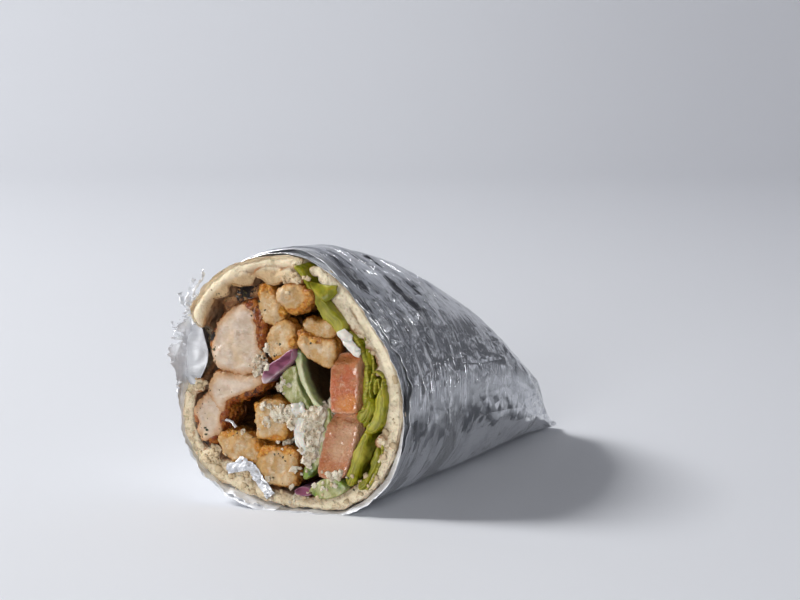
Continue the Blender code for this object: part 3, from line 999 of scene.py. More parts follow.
# %% Lettuce finish
lettuce = Finish("lettuce", **MOIST, roughness=0.36, subsurface_weight=0.25)
streak = lettuce.noise(1.6, 3, 0.6, lettuce.stretched((1, 0.5, 0.22), (0, -0.55, 0)))
broad = lettuce.ease(lettuce.noise(4.0, 3), 0.35, 0.65)
green = lettuce.mix((0.145, 0.146, 0.002), (0.31, 0.29, 0.008), broad)
green = lettuce.mix(green, (0.41, 0.35, 0.035), lettuce.ease(streak, 0.48, 0.7) * 0.6)
green = lettuce.mix(green, (0.45, 0.415, 0.07), lettuce.mark("edge") * 0.5)
beside_rim = lettuce.node("CombineXYZ", {}, {"X": lettuce.mark("rim"), "Y": lettuce.noise(7.0) * 0.8})
fibres = lettuce.noise(0.62, 2, 0.5, beside_rim)
green = lettuce.mix(green, (0.085, 0.083, 0.002), lettuce.ease(fibres, 0.50, 0.36) * 0.6)
green = lettuce.mix(green, (0.60, 0.52, 0.12), lettuce.ease(fibres, 0.55, 0.68) * 0.6)
green = lettuce.mix(green, (0.49, 0.43, 0.09), lettuce.mark("pale") * 0.5)
veins = lettuce.bump(streak * 0.25 + fibres * 0.5)
# Painted shade: darker behind the cut.
LETTUCE = lettuce.paint(base_color=lettuce.painted_depth_shade(green, 1.8, 9.0), normal=veins)


# %% Sheets
LEAF_ROWS, LEAF_DEPTH, LEAF_WAVE = 22, 34.0, 0.8
ARCH = 0.6  # how far a sheet's middle stands out


def net_faces(rows, columns):
    """The faces of a sheet whose points lie in rows and columns."""
    index = np.arange(rows * columns).reshape(rows, columns)
    corners = (index[:-1, :-1], index[1:, :-1], index[1:, 1:], index[:-1, 1:])
    return np.stack(corners, -1).reshape(-1, 4).tolist()


def side_of(line):
    """Unit arrows square to a line drawn on the cut face."""
    run = np.gradient(line, axis=0)
    return np.stack((-run[:, 1], run[:, 0]), -1) / np.linalg.norm(run, axis=1)[:, None]


def softened(obj):
    """Rounds the edges of a thin sheet."""
    return apply(obj, "SUBSURF", levels=1, render_levels=1)


def leaf_fold(name, knots, thick, proud, seed=0.0):
    """One thin sheet that starts on a curve on the cut face and runs back."""
    line = spline(knots, 7)
    side = side_of(line)
    walk = np.concatenate(([0], np.cumsum(np.linalg.norm(np.diff(line, axis=0), axis=1))))
    rows, shares = [], np.linspace(0, 1, LEAF_ROWS)
    for share in shares:
        sway = [noise.noise(Vector((w / 5, share * 5, seed))) for w in walk]
        frill = [noise.noise(Vector((w / 2.2, 9.0, seed))) for w in walk]
        curve = line + side * (np.array(sway) * LEAF_WAVE * (0.5 + share * 2))[:, None]
        along = share**1.5 * LEAF_DEPTH + (np.array(frill) * 1.3 - proud) * (1 - share)
        rows.append(inside(curve[:, 0], curve[:, 1], along))
    obj = mesh_object(name, np.concatenate(rows), net_faces(LEAF_ROWS, len(line)))
    mark(obj, "edge", np.repeat(smooth_step(shares, 0.12, 0.0), len(line)))
    mark(obj, "rim", np.tile(walk, LEAF_ROWS))
    apply(obj, "SOLIDIFY", thickness=thick * MM, offset=0.0, use_even_offset=True)
    return softened(obj)


def between(name, left, right, proud, rough, seed, thick, across, grain):
    """A small uneven sheet between two lines on the cut face."""
    left, right = spline(left, 6), spline(right, 6)
    share = np.linspace(0, 1, across)[:, None]
    grid = left[:, None] * (1 - share) + right[:, None] * share
    heights = [[noise.noise(Vector((x / grain, z / grain, seed))) for x, z in row] for row in grid]
    arch = np.sin(np.linspace(0, math.pi, across)) * ARCH
    points = inside(grid[..., 0], grid[..., 1], -(proud + arch + np.array(heights) * rough))
    obj = mesh_object(name, points.reshape(-1, 3), net_faces(*grid.shape[:2]))
    return apply(obj, "SOLIDIFY", thickness=thick * MM, offset=0.0)


print("a sheet of", LEAF_ROWS, "by 30 points has", len(net_faces(LEAF_ROWS, 30)), "faces")

# %% [markdown]
# One leaf passes up through the bread's seam. Its rib is thick and pale, its tip
# lies folded over the bread, and its blade goes down between tomato and bread.

# %% Leaf through the seam
LEAF_LENGTH = 60.0
PALE_RIBS = [(24, -20, 3.0), (9, 29, 2.5), (13, 23.5, 2.5), (17.5, 19, 2.5), (28, -8, 2.0)]


def make_lettuce(node, pieces):
    """One piece of lettuce from all its folds."""
    whole = join(pieces)
    points = points_of(whole)
    mark(whole, "behind", (FACE - points) @ CUT_NORMAL)
    mark(whole, "pale", spots(points, PALE_RIBS))
    return finished(whole, node, LETTUCE)


RIB = [
    (2.1, 38.2), (4.7, 34.5), (7.3, 30.2), (9.3, 25.9), (11.6, 22.3), (13.9, 20.2), (15.6, 18.2),
    (17.4, 16), (19.6, 18.4), (18.6, 21.3), (16.1, 23.6), (13.4, 26.8), (10.6, 29.9), (8.2, 32),
    (6.6, 35), (4.7, 38.2),
]
rib = mark_cut(remeshed(drawn("rib", RIB, 2.5, LEAF_LENGTH), voxel=0.36))
roughen(rib, "CLOUDS", 5.0, 1.0)
mark(rib, "edge", np.zeros(len(rib.data.vertices)))
domed(rib, height=0.5, width=1.2)
FLAG_TOP = [(7.2, 33.6), (10.4, 32.6), (13.8, 32.1), (17.2, 31.9)]
FLAG_LOW = [(9.6, 30), (11.8, 27.9), (13.6, 27), (16.8, 29.6)]
shape = {"proud": 1.8, "rough": 1.4, "seed": 3.0, "thick": 0.6, "across": 9, "grain": 3.4}
flag = softened(between("flag", FLAG_TOP, FLAG_LOW, **shape))
BLADE = [(20, 17.4), (22.9, 13.6), (24.9, 10.2), (25.8, 4), (25.6, -2.8), (24.6, -7.4)]
blade = leaf_fold("blade", BLADE, thick=1.2, proud=1.0)
SECOND = [(24, 16), (26.4, 9.4), (27.2, 3.6), (27, -1.5)]
second = leaf_fold("second", SECOND, thick=0.9, proud=-1.0, seed=4)
make_lettuce("lettuce_leaf", [rib, flag, blade, second])

# %% [markdown]
# Beside the tomato the leaf is pushed together into rounded folds, with two thin
# curls at their top. Rounded solids catch the light along their middles as real
# folds do, where a bare thin sheet would show only its edge.


# %% Rounded folds
def petal(name, knots, proud):
    """A thick rounded fold, highest along its middle."""
    obj = mark_cut(remeshed(drawn(name, knots, proud, LEAF_LENGTH), voxel=0.36, smooth=4))
    domed(obj, height=1.0, width=1.9)
    roughen(obj, "CLOUDS", 5.0, 2.2)
    mark(obj, "edge", smooth_step(marked(obj, "rim"), 0.2, 1.4) * marked(obj, "cut"))
    return obj


LONG = [(22.8, 14.8), (24.4, 11.8), (24.2, 4), (23.9, -3), (24.2, -7.4), (25.8, -5), (26.5, 0)]
LONG += [(26.7, 5), (26.3, 10), (24.8, 14.8)]
SWEEP = [(31.9, 0.8), (32.6, -5), (31.9, -10.5), (28.8, -14), (25.2, -14), (25.4, -12.2), (27.6, -9)]
SWEEP += [(28.6, -5), (30, 0)]
INNER = [(26.4, -3.4), (28.0, -4), (27.7, -8), (26.2, -10.8), (24.6, -12.4), (23.9, -10.6), (25.4, -8.2)]
LOBE = [(22.4, -9), (23.5, -6.5), (25.6, -5.6), (27.4, -3.6), (27.3, -7), (25.9, -10), (23.8, -11.2)]
LOW = [(25.2, -13.2), (22.3, -18), (20, -23.7), (18.9, -29), (20.9, -31), (22.8, -27), (24.6, -22)]
LOW += [(26.2, -17), (27.2, -14)]
SIDE = [(29.4, -15), (30.1, -19.9), (28.6, -25.2), (25.6, -30.2), (23.2, -32), (22.4, -30.4)]
SIDE += [(25.4, -26.2), (27.4, -21.5), (28.6, -16.5)]
LOOP = [(27.2, -3), (26.8, 1.4), (27.6, 4.4), (29.2, 5.1), (30.8, 2.8), (31, -1)]
CURL = [(28.2, -2), (28.3, 1.4), (29.1, 2.6), (29.8, 0.4), (29.9, -3)]
long_fold = petal("long", LONG, 0.4)
loop = leaf_fold("loop", LOOP, thick=0.6, proud=0.8)
curl = leaf_fold("curl", CURL, thick=0.55, proud=0.4, seed=6)
inner_fold = petal("inner", INNER, 1.2)
lobe = petal("lobe", LOBE, 1.8)
sweep_fold = petal("sweep", SWEEP, 2.0)
make_lettuce("lettuce_ruffle", [long_fold, loop, curl, inner_fold, lobe, sweep_fold])
make_lettuce("lettuce_fold", [petal("low", LOW, 2.0)])
FRILL = [(25.2, -31.2), (27.6, -27.8), (29.8, -22.6), (30.8, -17)]
frill = leaf_fold("frill", FRILL, thick=0.6, proud=0.2, seed=15)
side_fold = petal("side", SIDE, 0.8)
make_lettuce("lettuce_frill", [side_fold, frill])

# %% [markdown]
# ## Pita
# The bread's cut edge is a pale, porous crumb between two skins. Inside the roll
# it has taken colour from the filling in patches, and its inner wall is darkened
# with depth behind the cut as painted shade. Its crumb on the right side is
# lightened as painted light, and the inner edge of its smooth lip is darkened as
# painted shade. Lumps of torn crumb are set on the CAD piece before it is
# remeshed, and the remesh melts them into it. At the upper left the bread is
# smooth, stands out of the cut and ends at a tear.

# %% Pita finish
pita = Finish("pita", roughness=0.85, subsurface_weight=0.1, subsurface_scale=0.002)
cut, rim = pita.mark("cut"), pita.mark("rim")
holes = pita.noise(0.8, 3, 0.65) + pita.noise(2.6, 2, 0.5) * 0.4
pores = pita.ease(holes, 0.50, 0.66)
crumb = pita.mix((0.64, 0.50, 0.30), (0.82, 0.69, 0.48), pita.ease(pita.noise(2.6, 4, 0.6), 0.35, 0.62))
crumb = pita.mix((0.44, 0.31, 0.15), crumb, pores * 0.55 + 0.45)
grain = pita.ease(pita.noise(0.45, 3, 0.7), 0.42, 0.60)
crumb = pita.mix(crumb, (0.92, 0.82, 0.62), grain * 0.45)
toasting = pita.ease(pita.noise(7.0, 3, 0.6), 0.5, 0.72)
skin_tint = pita.mix((0.68, 0.56, 0.40), (0.54, 0.39, 0.22), toasting)
stained = pita.mark("inside") * pita.ease(pita.noise(5.0, 3), 0.40, 0.6)
skin_tint = pita.mix(skin_tint, (0.42, 0.19, 0.07), stained)
# Painted light: the crumb on the right side, away from the key light, is lightened.
crumb = pita.mix(crumb, (0.95, 0.84, 0.62), pita.mark("fresh") * 0.75)
crumb = pita.mix(crumb, (0.80, 0.68, 0.48), pita.mark("smooth") * 0.8)
baked = pita.mix(skin_tint, crumb, pita.ease(rim, 0.1, 0.7) * cut)
# Painted shade: the inner edge of the smooth lip is darkened to brown.
baked = pita.mix(baked, (0.50, 0.30, 0.12), pita.mark("painted_lip_shade") * 0.7)
blotches = pita.ease(pita.noise(1.8, 4, 0.65), 0.44, 0.54)
baked = pita.mix(baked, (0.36, 0.14, 0.03), pita.mark("browned") * blotches)
# Painted shade: the bread's inner wall gets darker the deeper it lies behind the cut.
behind, hollow = pita.mark("behind"), pita.mark("inside")
baked = pita.mix(baked, (0.16, 0.06, 0.02), pita.ease(behind, 0.5, 4) * hollow * 0.75)
baked = pita.mix(baked, (0.04, 0.015, 0.008), pita.ease(behind, 4, 14) * hollow * 0.8)
relief = pores * cut * (1 - pita.mark("smooth")) * 0.24 + pita.noise(0.9, 4, 0.65) * 0.45
relief = relief + pita.noise(2.6, 4, 0.65) * pita.mark("smooth") * 0.9
PITA = pita.paint(base_color=baked, normal=pita.bump(relief))

# %% [markdown]
# The bread and the foil follow one outline: a circle with a few slow waves on it. It
# is written as a radius for each angle, and so is everything that happens at some
# part of the rim: a tear, a bulge or a loose edge is a hump at its own angle.


# %% Outline of the roll
def hump(angle, centre, spread):
    """1 at centre and falling to 0 on a circle. Centre and spread are in degrees."""
    off = (angle - math.radians(centre) + math.pi) % math.tau - math.pi
    return np.exp(-((off / math.radians(spread)) ** 2))


def lip(angle):
    """Where the bread stands out of the cut: smooth at the top, and ending at a tear."""
    degrees = np.degrees(angle) % 360
    return smooth_step(degrees, 88, 125) * smooth_step(degrees, 156, 144)


MOUTH_RADIUS = 38.7
MOUTH_WAVES = ((2, 2.7, 118), (3, 1.7, -23), (4, 1.5, 30))  # (how many round it, height, direction)


def mouth(angle):
    """Radius of the roll's outline at the cut, in mm."""
    waves = (height * np.cos(k * (angle - math.radians(at))) for k, height, at in MOUTH_WAVES)
    return MOUTH_RADIUS + sum(waves)


def bulge(angle, along):
    """How far the skin stands out of the drawn outline near the cut, in mm."""
    out = 3.0 * hump(angle, 142, 20) - 0.8 * hump(angle, 106, 13) - 3.3 * hump(angle, 36, 31)
    return out * smooth_step(along, 40, 0)


print("mouth's radius, mm:", mouth(np.radians([0, 90, 180, 270])).round(1).tolist())

# %% [markdown]
# Bread tears rather than cuts, so its edge is uneven. Each lump is a short drawn
# solid that stands a little out of the cut. Joined to the bread and remeshed with
# it, the lumps leave no seams.

# %% Torn crumb
# Each lump is (across, up, width, height, how proud).
CRUMB_LUMPS = (
    (-5.0, 34.6, 6.0, 4.4, 1.2),
    (-0.8, 35.6, 5.0, 4.6, 1.8),
    (0.6, 32.6, 4.4, 3.0, 1.3),
    (2.5, 33.4, 5.0, 4.0, 2.0),
    (-31.0, 0.9, 5.0, 4.6, 0.5),
    (-27.5, -21.3, 8.0, 4.6, 0.5),
    (-22.5, -24.6, 8.0, 4.0, 0.2),
    (-15.6, -27.4, 7.0, 3.4, 0.3),
    (-24.8, -19.3, 4.0, 3.0, 0.8),
    (-19.0, -25.2, 4.0, 2.6, 0.9),
    (30.2, -16.4, 3.8, 4.4, 0.9),
    (28.9, -21.6, 2.6, 3.4, 0.4),
    (26.3, 14.2, 2.8, 4.0, 0.2),
    (8.4, 36.6, 4.6, 3.4, 0.2),
    (11.6, 34.2, 4.6, 4.4, 0.3),
    (29.4, 5.0, 2.0, 3.4, 0.0),
    (-6.5, 36.6, 9.0, 4.6, 0.9),
    (-15.0, 34.2, 8.5, 5.0, 0.35),
    (-22.4, 29.4, 8.5, 6.0, 0.45),
    (-27.4, 22.2, 5.6, 9.0, 0.4),
)
BESIDE_LEAF = tuple(
    (12.0 + 12.2 * t, 32.2 - 14.4 * t, 4.8, 4.8, 0.1 + 0.3 * (t > 0.6)) for t in np.linspace(0, 1, 9)
)
LUMP_DEPTH = 14
bread = copied("pita_bread", "pita_roll")
lumps = []
for across, up, width, height, proud in CRUMB_LUMPS + BESIDE_LEAF:
    turns = np.arange(8) * math.tau / 8
    ring = [(across + width / 2 * math.cos(a), up + height / 2 * math.sin(a)) for a in turns]
    lumps.append(drawn("crumb", ring, proud, LUMP_DEPTH))
bread = join([bread, *lumps])
BROWNED = [(20.5, 18.5, 2.6), (23.5, 15, 2.2), (26.5, 11, 2.0), (29.3, -15, 2.4), (28.6, -20, 2.4)]
BROWNED += [(-31, -2, 2.5), (-29, 4, 2.0), (-32, -14, 2.0)]
mark_cut(remeshed(bread, voxel=0.5, keep=20.0, smooth=5), BROWNED)
print("bread with", len(lumps), "lumps:", len(bread.data.polygons), "faces")

# %% [markdown]
# The bread is then pushed about by rules on the angle round the roll, the depth in
# the wall and the distance behind the cut, and roughened from coarse to fine.

# %% Pita
LIP_STANDS_OUT = 3.6
points = points_of(bread)
off_x, off_z = points[:, 0] - FACE[0], points[:, 2] - FACE[2]
turn, reach = np.arctan2(off_z, off_x), np.hypot(off_x, off_z)
behind = (FACE - points) @ CUT_NORMAL
degrees = np.degrees(turn)
deep = mouth(turn) - reach  # from the bread's outer skin inwards
mark(bread, "inside", smooth_step(deep, 3.4, 5.0))
# Where light is painted on the right side of the bread.
mark(bread, "fresh", hump(turn, 30, 75))
smooth_part = smooth_step(degrees, 84, 104) * smooth_step(degrees, 172, 156)
mark(bread, "smooth", smooth_part)
# Where shade is painted along the inner edge of the smooth lip.
mark(bread, "painted_lip_shade", smooth_part * smooth_step(deep, 4.6, 6.2))
on_face = smooth_step(points_of(bread, "normal") @ CUT_NORMAL, 0.3, 0.8)
rounding = 0.4 + 1.9 * smooth_part * (0.3 + 0.7 * smooth_step(deep, 4.0, 2.0))
points[:, 1] += rounding * smooth_step(marked(bread, "rim"), 2.6, 0.0) * on_face
# The bread stands out of the cut at the upper left, and bulges outwards there.
points[:, 1] -= LIP_STANDS_OUT * lip(turn) * smooth_step(behind, 18, 0)
outwards = bulge(turn, behind)
swollen, pressed_in = 1 + 0.05 * smooth_step(deep, 0.5, 6.0), 1 - 0.75 * smooth_step(deep, 2.0, 7.0)
outwards *= np.where(outwards > 0, swollen, pressed_in)
# It hangs over the foil's rim at the left, and further back it stays inside the foil.
torn_side = 0.6 * hump(turn, 195, 62) + 0.9 * hump(turn, 204, 26)
outwards += torn_side * smooth_step(deep, 3.0, 0.5) * smooth_step(behind, 4.5, 1.0)
outwards -= 0.6 * smooth_step(deep, 3.0, 1.0) * smooth_step(behind, 3.0, 8.0)
points[:, 0] += np.cos(turn) * outwards
points[:, 2] += np.sin(turn) * outwards
move_points(bread, points)
group(bread, "torn", (1 - 0.15 * smooth_part) * smooth_step(behind, 9, 4))
roughen(bread, "CLOUDS", 4.0, 1.4, "crust")
roughen(bread, "CLOUDS", 7.0, 1.8, "face")
roughen(bread, "CLOUDS", 3.0, 1.2, "torn", noise_depth=3)
roughen(bread, "CLOUDS", 1.2, 0.35, "torn", noise_depth=2)
finished(bread, "pita_bread", PITA)

# %% [markdown]
# ## Foil
# Foil can't stretch, so it bends in flat facets that meet in sharp creases. A net
# of random points with random heights, joined by triangles, has just such facets.
# Several nets of different grain are laid over the roll's skin and added up.


# %% The roll's skin
def skin(angle, along, depth=0.0):
    """Points of the roll's skin in mm, at an angle round it and so far behind the cut."""
    radius = mouth(angle) + bulge(angle, along)
    x, z = radius * np.cos(angle), CENTRE_HEIGHT + radius * np.sin(angle)
    share = np.clip(along, 0, None) / ROLL_LENGTH
    wide, tall = narrowing(along)
    y = along + (x * BIAS_SLOPE + (z - CENTRE_HEIGHT) * LEAN_SLOPE) * (1 - share)
    x, z = x * wide, z * tall
    inward_x, inward_z = -x, tall * CENTRE_HEIGHT - z
    length = np.hypot(inward_x, inward_z)
    x, z = x + depth * inward_x / length, z + depth * inward_z / length
    return np.stack((x + FACE[0], y + FACE[1], np.maximum(z, depth)), -1)


print("back of the roll, mm:", skin(np.array(0.0), np.array(ROLL_LENGTH)).round(1).tolist())

# %% Creased nets
GIRTH = 243.0  # round the roll, in mm
NET_START, NET_LENGTH = -20, 180  # along the roll, in mm


def creased(around, along, size, seed, lean=0.0):
    """Heights from -1 to 1 of a net of flat facets. Size is (round the roll, along it) in mm."""
    pick = random.Random(seed)
    columns, rows = max(6, round(GIRTH / size[0])), round(NET_LENGTH / size[1])
    knots, heights = [], []
    for row in range(rows + 1):
        for column in range(columns):
            u = (column + pick.uniform(-0.45, 0.45) + 0.5 * (row % 2)) * GIRTH / columns
            v = NET_START + (row + pick.uniform(-0.45, 0.45)) * size[1]
            height = pick.uniform(-1, 1)
            for turn in (-1, 0, 1):
                if -0.25 * GIRTH < u + turn * GIRTH < 1.25 * GIRTH:
                    knots.append(Vector((u + turn * GIRTH, v)))
                    heights.append(height)
    flat, _, faces, _, _, _ = geometry.delaunay_2d_cdt(knots, [], [], 0, 1e-5)
    tops = [(p.x, p.y, h) for p, h in zip(flat, heights)]
    net = BVHTree.FromPolygons(tops, faces)
    down = Vector((0, 0, -1))
    shape = around.shape
    around, along = around.ravel(), (along + lean * around).ravel()
    hits = [net.ray_cast(Vector((u, v, 5)), down)[0] for u, v in zip(around, along)]
    return np.array([0.0 if hit is None else hit.z for hit in hits]).reshape(shape)


def drift(around, along, size, seed):
    """Smooth noise from 0 to 1 over the roll's skin."""
    turn = around / GIRTH * math.tau
    radius = GIRTH / math.tau / size
    values = [
        noise.noise(Vector((radius * math.cos(a), radius * math.sin(a), v / size + seed)))
        for a, v in zip(turn.ravel(), along.ravel())
    ]
    return np.clip(0.5 + 0.9 * np.array(values).reshape(around.shape), 0, 1)


ORIGIN = np.zeros((1, 1))
print("a net's height at one point:", creased(ORIGIN, ORIGIN, (19, 26), 1).round(2).tolist())

# %% [markdown]
# The nets are laid on an unrolled sheet: one way is measured round the roll and the
# other along it. The relief is added along the surface's own normals, and marks tell
# the material where the dull side shows.

# %% Foil helpers
SIDES = 420  # points round the roll


def flared(points, angle, along, reach=3.0):
    """Bends the foil outwards where its rim is loose: at the tear, and at the bottom."""
    out = reach * hump(angle, 160, 24) * (1 - smooth_step(along, -7, 4))
    out += 1.4 * hump(angle, 250, 16) * (1 - smooth_step(along, -5, 1.5))
    points[..., 0] += np.cos(angle) * out
    points[..., 2] += np.sin(angle) * out
    return points


def surface_normals(points):
    """Unit normals of a net of points that closes round the roll."""
    across = np.roll(points, -1, 1) - np.roll(points, 1, 1)
    along = np.gradient(points, axis=0)
    normal = np.cross(along, across)
    return normal / np.maximum(np.linalg.norm(normal, axis=-1, keepdims=True), 1e-9)


def angles(rows):
    """Angles from the bottom of the roll round to it again, the same in each row."""
    turn = (np.arange(SIDES) + 0.5) / SIDES * math.tau - math.pi / 2
    return np.tile(turn, (rows, 1))


def measured_round(angle):
    """How far round the roll an angle is, in mm."""
    return (angle + math.pi / 2) / math.tau * GIRTH


def dulled(obj):
    """Marks where the foil's dull side shows. Nothing is frayed or dim until it is marked so."""
    mark(obj, "frayed", np.zeros(len(obj.data.vertices)))
    mark(obj, "dim", np.zeros(len(obj.data.vertices)))
    points, normals = points_of(obj), points_of(obj, "normal")
    turn = np.arctan2(points[:, 2] - FACE[2], points[:, 0] - FACE[0])
    behind = (FACE - points) @ CUT_NORMAL
    inward = -(normals[:, 0] * np.cos(turn) + normals[:, 2] * np.sin(turn))
    dull = hump(turn, 158, 26) * smooth_step(behind, 3, -1)
    dull = np.maximum(dull, smooth_step(inward, 0.2, 0.5))
    dull = np.maximum(dull, 0.8 * hump(turn, -38, 26) * smooth_step(behind, 8, 5))
    dull = np.maximum(dull, 0.5 * hump(turn, 84, 16) * smooth_step(behind, 9, 4))
    dull = np.maximum(dull, 0.7 * hump(turn, 240, 30) * smooth_step(behind, 2, -1))
    mark(obj, "dull", dull)
    return obj


def wrapped(name, rings, around, along, closed):
    """The tube of a turn of foil, with its unrolled places written on it for the material."""
    obj = dulled(tube(name, rings, closed, closed))
    mark(obj, "around", np.concatenate(around))
    mark(obj, "along", np.concatenate(along))
    return obj


print("points round the roll:", SIDES, "every", round(GIRTH / SIDES, 2), "mm")

# %% [markdown]
# The finest creases are only a finish. They are flat cells, each with a tilt of its
# own, laid out on the unrolled foil: long ones that run round the roll near the
# rim, and small ones in patches where the foil was crumpled by a hand.


# %% Foil finish
def foil_finish(name, unrolled, creasing=1.0):
    """Foil whose pattern lies on the unrolled sheet, or on the places of small bits."""
    sheet = Finish(name)
    place = sheet.place
    if unrolled:
        place = sheet.node("CombineXYZ", {}, {"X": sheet.mark("around"), "Y": sheet.mark("along")})
    scuff = sheet.noise(9.0, 3, 0.6, place)
    tint = sheet.mix((0.84, 0.85, 0.87), (0.66, 0.67, 0.70), sheet.ease(scuff, 0.42, 0.68))
    # Painted shade: foil marked dim is darkened towards grey.
    tint = sheet.mix(tint, (0.40, 0.405, 0.42), sheet.mark("dim"))
    round_it = sheet.stretched((0.16, 1.0, 1.0), (0, 0, 0.12), place)
    along_it = sheet.stretched((1.0, 0.22, 1.0), (0, 0, -0.2), place)
    crumpled = sheet.ease(sheet.noise(15.0, 2, 0.5, place), 0.46, 0.60)
    front = sheet.ease(sheet.mark("along"), 58, 34)
    relief = sheet.facets(13.0, place) * 0.14
    relief = relief + sheet.facets(3.8, round_it) * (front * 0.85)
    relief = relief + sheet.facets(1.7, round_it) * (front * 0.30)
    relief = relief + sheet.facets(6.0, along_it) * ((1 - front) * 0.22)
    relief = relief + sheet.facets(4.2, place) * (crumpled * 0.30)
    relief = relief + sheet.noise(1.6, 2, 0.5, round_it) * 0.22
    # Shreds at the torn rim of the flap: fine noise, cut away more and more towards it.
    wisps = sheet.noise(0.6, 2, 0.5, sheet.stretched((1.0, 0.10, 1.0), (0, 0, 0.05), place))
    solid = sheet.ease(wisps - sheet.mark("frayed") * 0.66 + 0.06, 0.0, 0.05)
    return sheet.paint(
        alpha=solid,
        metallic=1 - sheet.mark("dull") * 0.5,
        base_color=tint,
        roughness=sheet.ease(scuff, 0.35, 0.75, 0.09, 0.22) + sheet.mark("dull") * 0.42,
        normal=sheet.bump(relief, 0.8 * creasing),
    )


FOIL = foil_finish("kitchen_foil", True)
FOIL_BITS = foil_finish("foil_bits", False, 0.5)

# %% [markdown]
# The roll is wrapped more than once. The inner turn lies close on the bread and
# ends at the cut. The outer turn starts a few millimetres further back and stands
# off a little, so there is a dark gap between the two. At the left both turns are
# torn back, and the inner one ends in a frayed flap.


# %% Where the outer turn lies
ROWS = 200  # points along the roll


def outer_start(angle):
    """Where the outer turn starts, in mm behind the cut."""
    side = hump(angle, 8, 30)
    edge = 1.2 + 4.6 * side + 1.8 * hump(angle, 95, 30)
    edge = edge - 3.0 * hump(angle, 165, 18) - 4.8 * hump(angle, 260, 34)
    edge += 5.0 * hump(angle, 122, 18) + 2.2 * hump(angle, -34, 22)
    torn = 0.6 * np.sin(11 * angle) + 0.45 * np.sin(23 * angle + 1) + 0.35 * np.sin(41 * angle)
    return edge + torn * (0.5 + 0.8 * side)


angle = angles(ROWS)
share = np.linspace(0, 1, ROWS)[:, None]
start = outer_start(angle[:1])
along = start + (ROLL_LENGTH - start) * share
around = measured_round(angle)
base = flared(skin(angle, along), angle, along)
print("outer turn of", base.shape[0], "rows of", base.shape[1], "points")

# %% Creases of the outer turn
front = smooth_step(along, 62, 30)
back = smooth_step(along, 84, 118)


def patches(size, seed, start, end):
    """Where the foil was crumpled by a hand: 1 inside the patches and 0 outside them."""
    return smooth_step(drift(around, along, size, seed), start, end)


streaks = 0.55 * front * (0.3 + 0.7 * drift(around, along, 18.0, 8.0))
relief = 0.75 * creased(around, along, (19, 26), 1)  # broad facets everywhere
relief += 0.50 * creased(around, along, (9, 13), 6) * patches(24.0, 5.0, 0.3, 0.65)
relief += streaks * creased(around, along, (17, 2.6), 2, 0.07)  # round the roll, near its rim
relief += 0.42 * creased(around, along, (5, 7), 3) * patches(20.0, 15.0, 0.42, 0.72)
relief += 0.85 * back * creased(around, along, (6.5, 30), 4, 0.15)  # pleats along the tail
relief += 0.16 * creased(around, along, (2.4, 3.2), 5) * patches(14.0, 21.0, 0.45, 0.75)
puffs = 0.1 + 1.6 * drift(around, along * 0, 11.0, 40.0)
open_side = hump(angle, 6, 24) * smooth_step(along, 15, 4) * puffs
tight = smooth_step(along - start, 0, 9)
relief *= 0.25 + 0.75 * tight
low_lip = hump(angle, 250, 45) * smooth_step(along, 2.5, -1)
relief += low_lip * (0.4 + 1.0 * creased(around, along, (3.4, 2.2), 17))
lift = 0.05 + 0.5 * tight + 0.8 * open_side + 1.4 * hump(angle, 90, 12) * smooth_step(along, 16, 3)
resting = smooth_step(base[..., 2], 0.3, 5.0)
normal = surface_normals(base)
outer = base + normal * (np.maximum(relief + lift, -0.15) * (0.1 + 0.9 * resting))[..., None]
# The tail is folded flat, and its end is not quite straight.
pressed = smooth_step(along, 118, 140)
outer[..., 2] *= 1 - 0.62 * pressed
outer[..., 1] -= 2.4 * pressed * drift(outer[..., 0] + 40, along * 0, 9.0, 60.0)
outer[..., 2] = np.maximum(outer[..., 2], 0.02)
print("outward on the right side:", (normal[5, SIDES // 4] @ np.array((1, 0, 0))).round(2))

# %% Outer turn
WALL_AT_RIM, WALL_GROWTH = 0.16, 0.03  # in mm, and in mm for each row: hidden, so it may be thick
under = [0, 2, 5, 9, 14, 22, 34, 52, 74, 98]
inner_rows = [outer[row] - normal[row] * (WALL_AT_RIM + WALL_GROWTH * row) for row in under]
end = outer[-1]
middle = end.mean(0)
closing = [middle + (end - middle) * size + np.array((0, 0.9 * (1 - size), 0)) for size in (0.9, 0.6)]
rings = inner_rows[::-1] + list(outer) + closing
laid_round = [around[0]] * len(rings)
laid_along = [along[row] for row in under[::-1]] + list(along) + [along[-1] + 2, along[-1] + 6]
outer_turn = wrapped("foil_outer_turn", rings, laid_round, laid_along, True)
finished(outer_turn, "foil_wrap", FOIL)

# %% [markdown]
# The inner turn is a narrow band, because the rest of it is hidden. Its rim is
# ragged, with small teeth where the foil tore, and curls outwards at the lower right.

# %% Rim of the inner turn
steps = np.concatenate((np.linspace(0, 14, 44), np.linspace(16, 34, 8)))[:, None]
angle = angles(len(steps))
around = measured_round(angle)
rim_angle, rim_around = angle[:1], around[:1]
low_rim = hump(rim_angle, 259, 42)
ragged = np.sin(7 * rim_angle + 0.6) + 0.7 * np.sin(17 * rim_angle) + 0.5 * np.sin(29 * rim_angle + 2)
start = 0.2 - 2.8 * low_rim + 0.35 * ragged
start = start - 7.0 * hump(rim_angle, 161, 22) + 5.5 * hump(rim_angle, 120, 18)
level = rim_around * 0
teeth = drift(rim_around, level, 1.1, 31.0) + 0.6 * drift(rim_around, level, 2.9, 36.0) - 0.8
fray = teeth * (2.0 * hump(rim_angle, 158, 24) + 0.8 * low_rim + 0.5)
rim = start + fray
print("the inner turn starts at, mm:", rim.min().round(1), "to", rim.max().round(1))

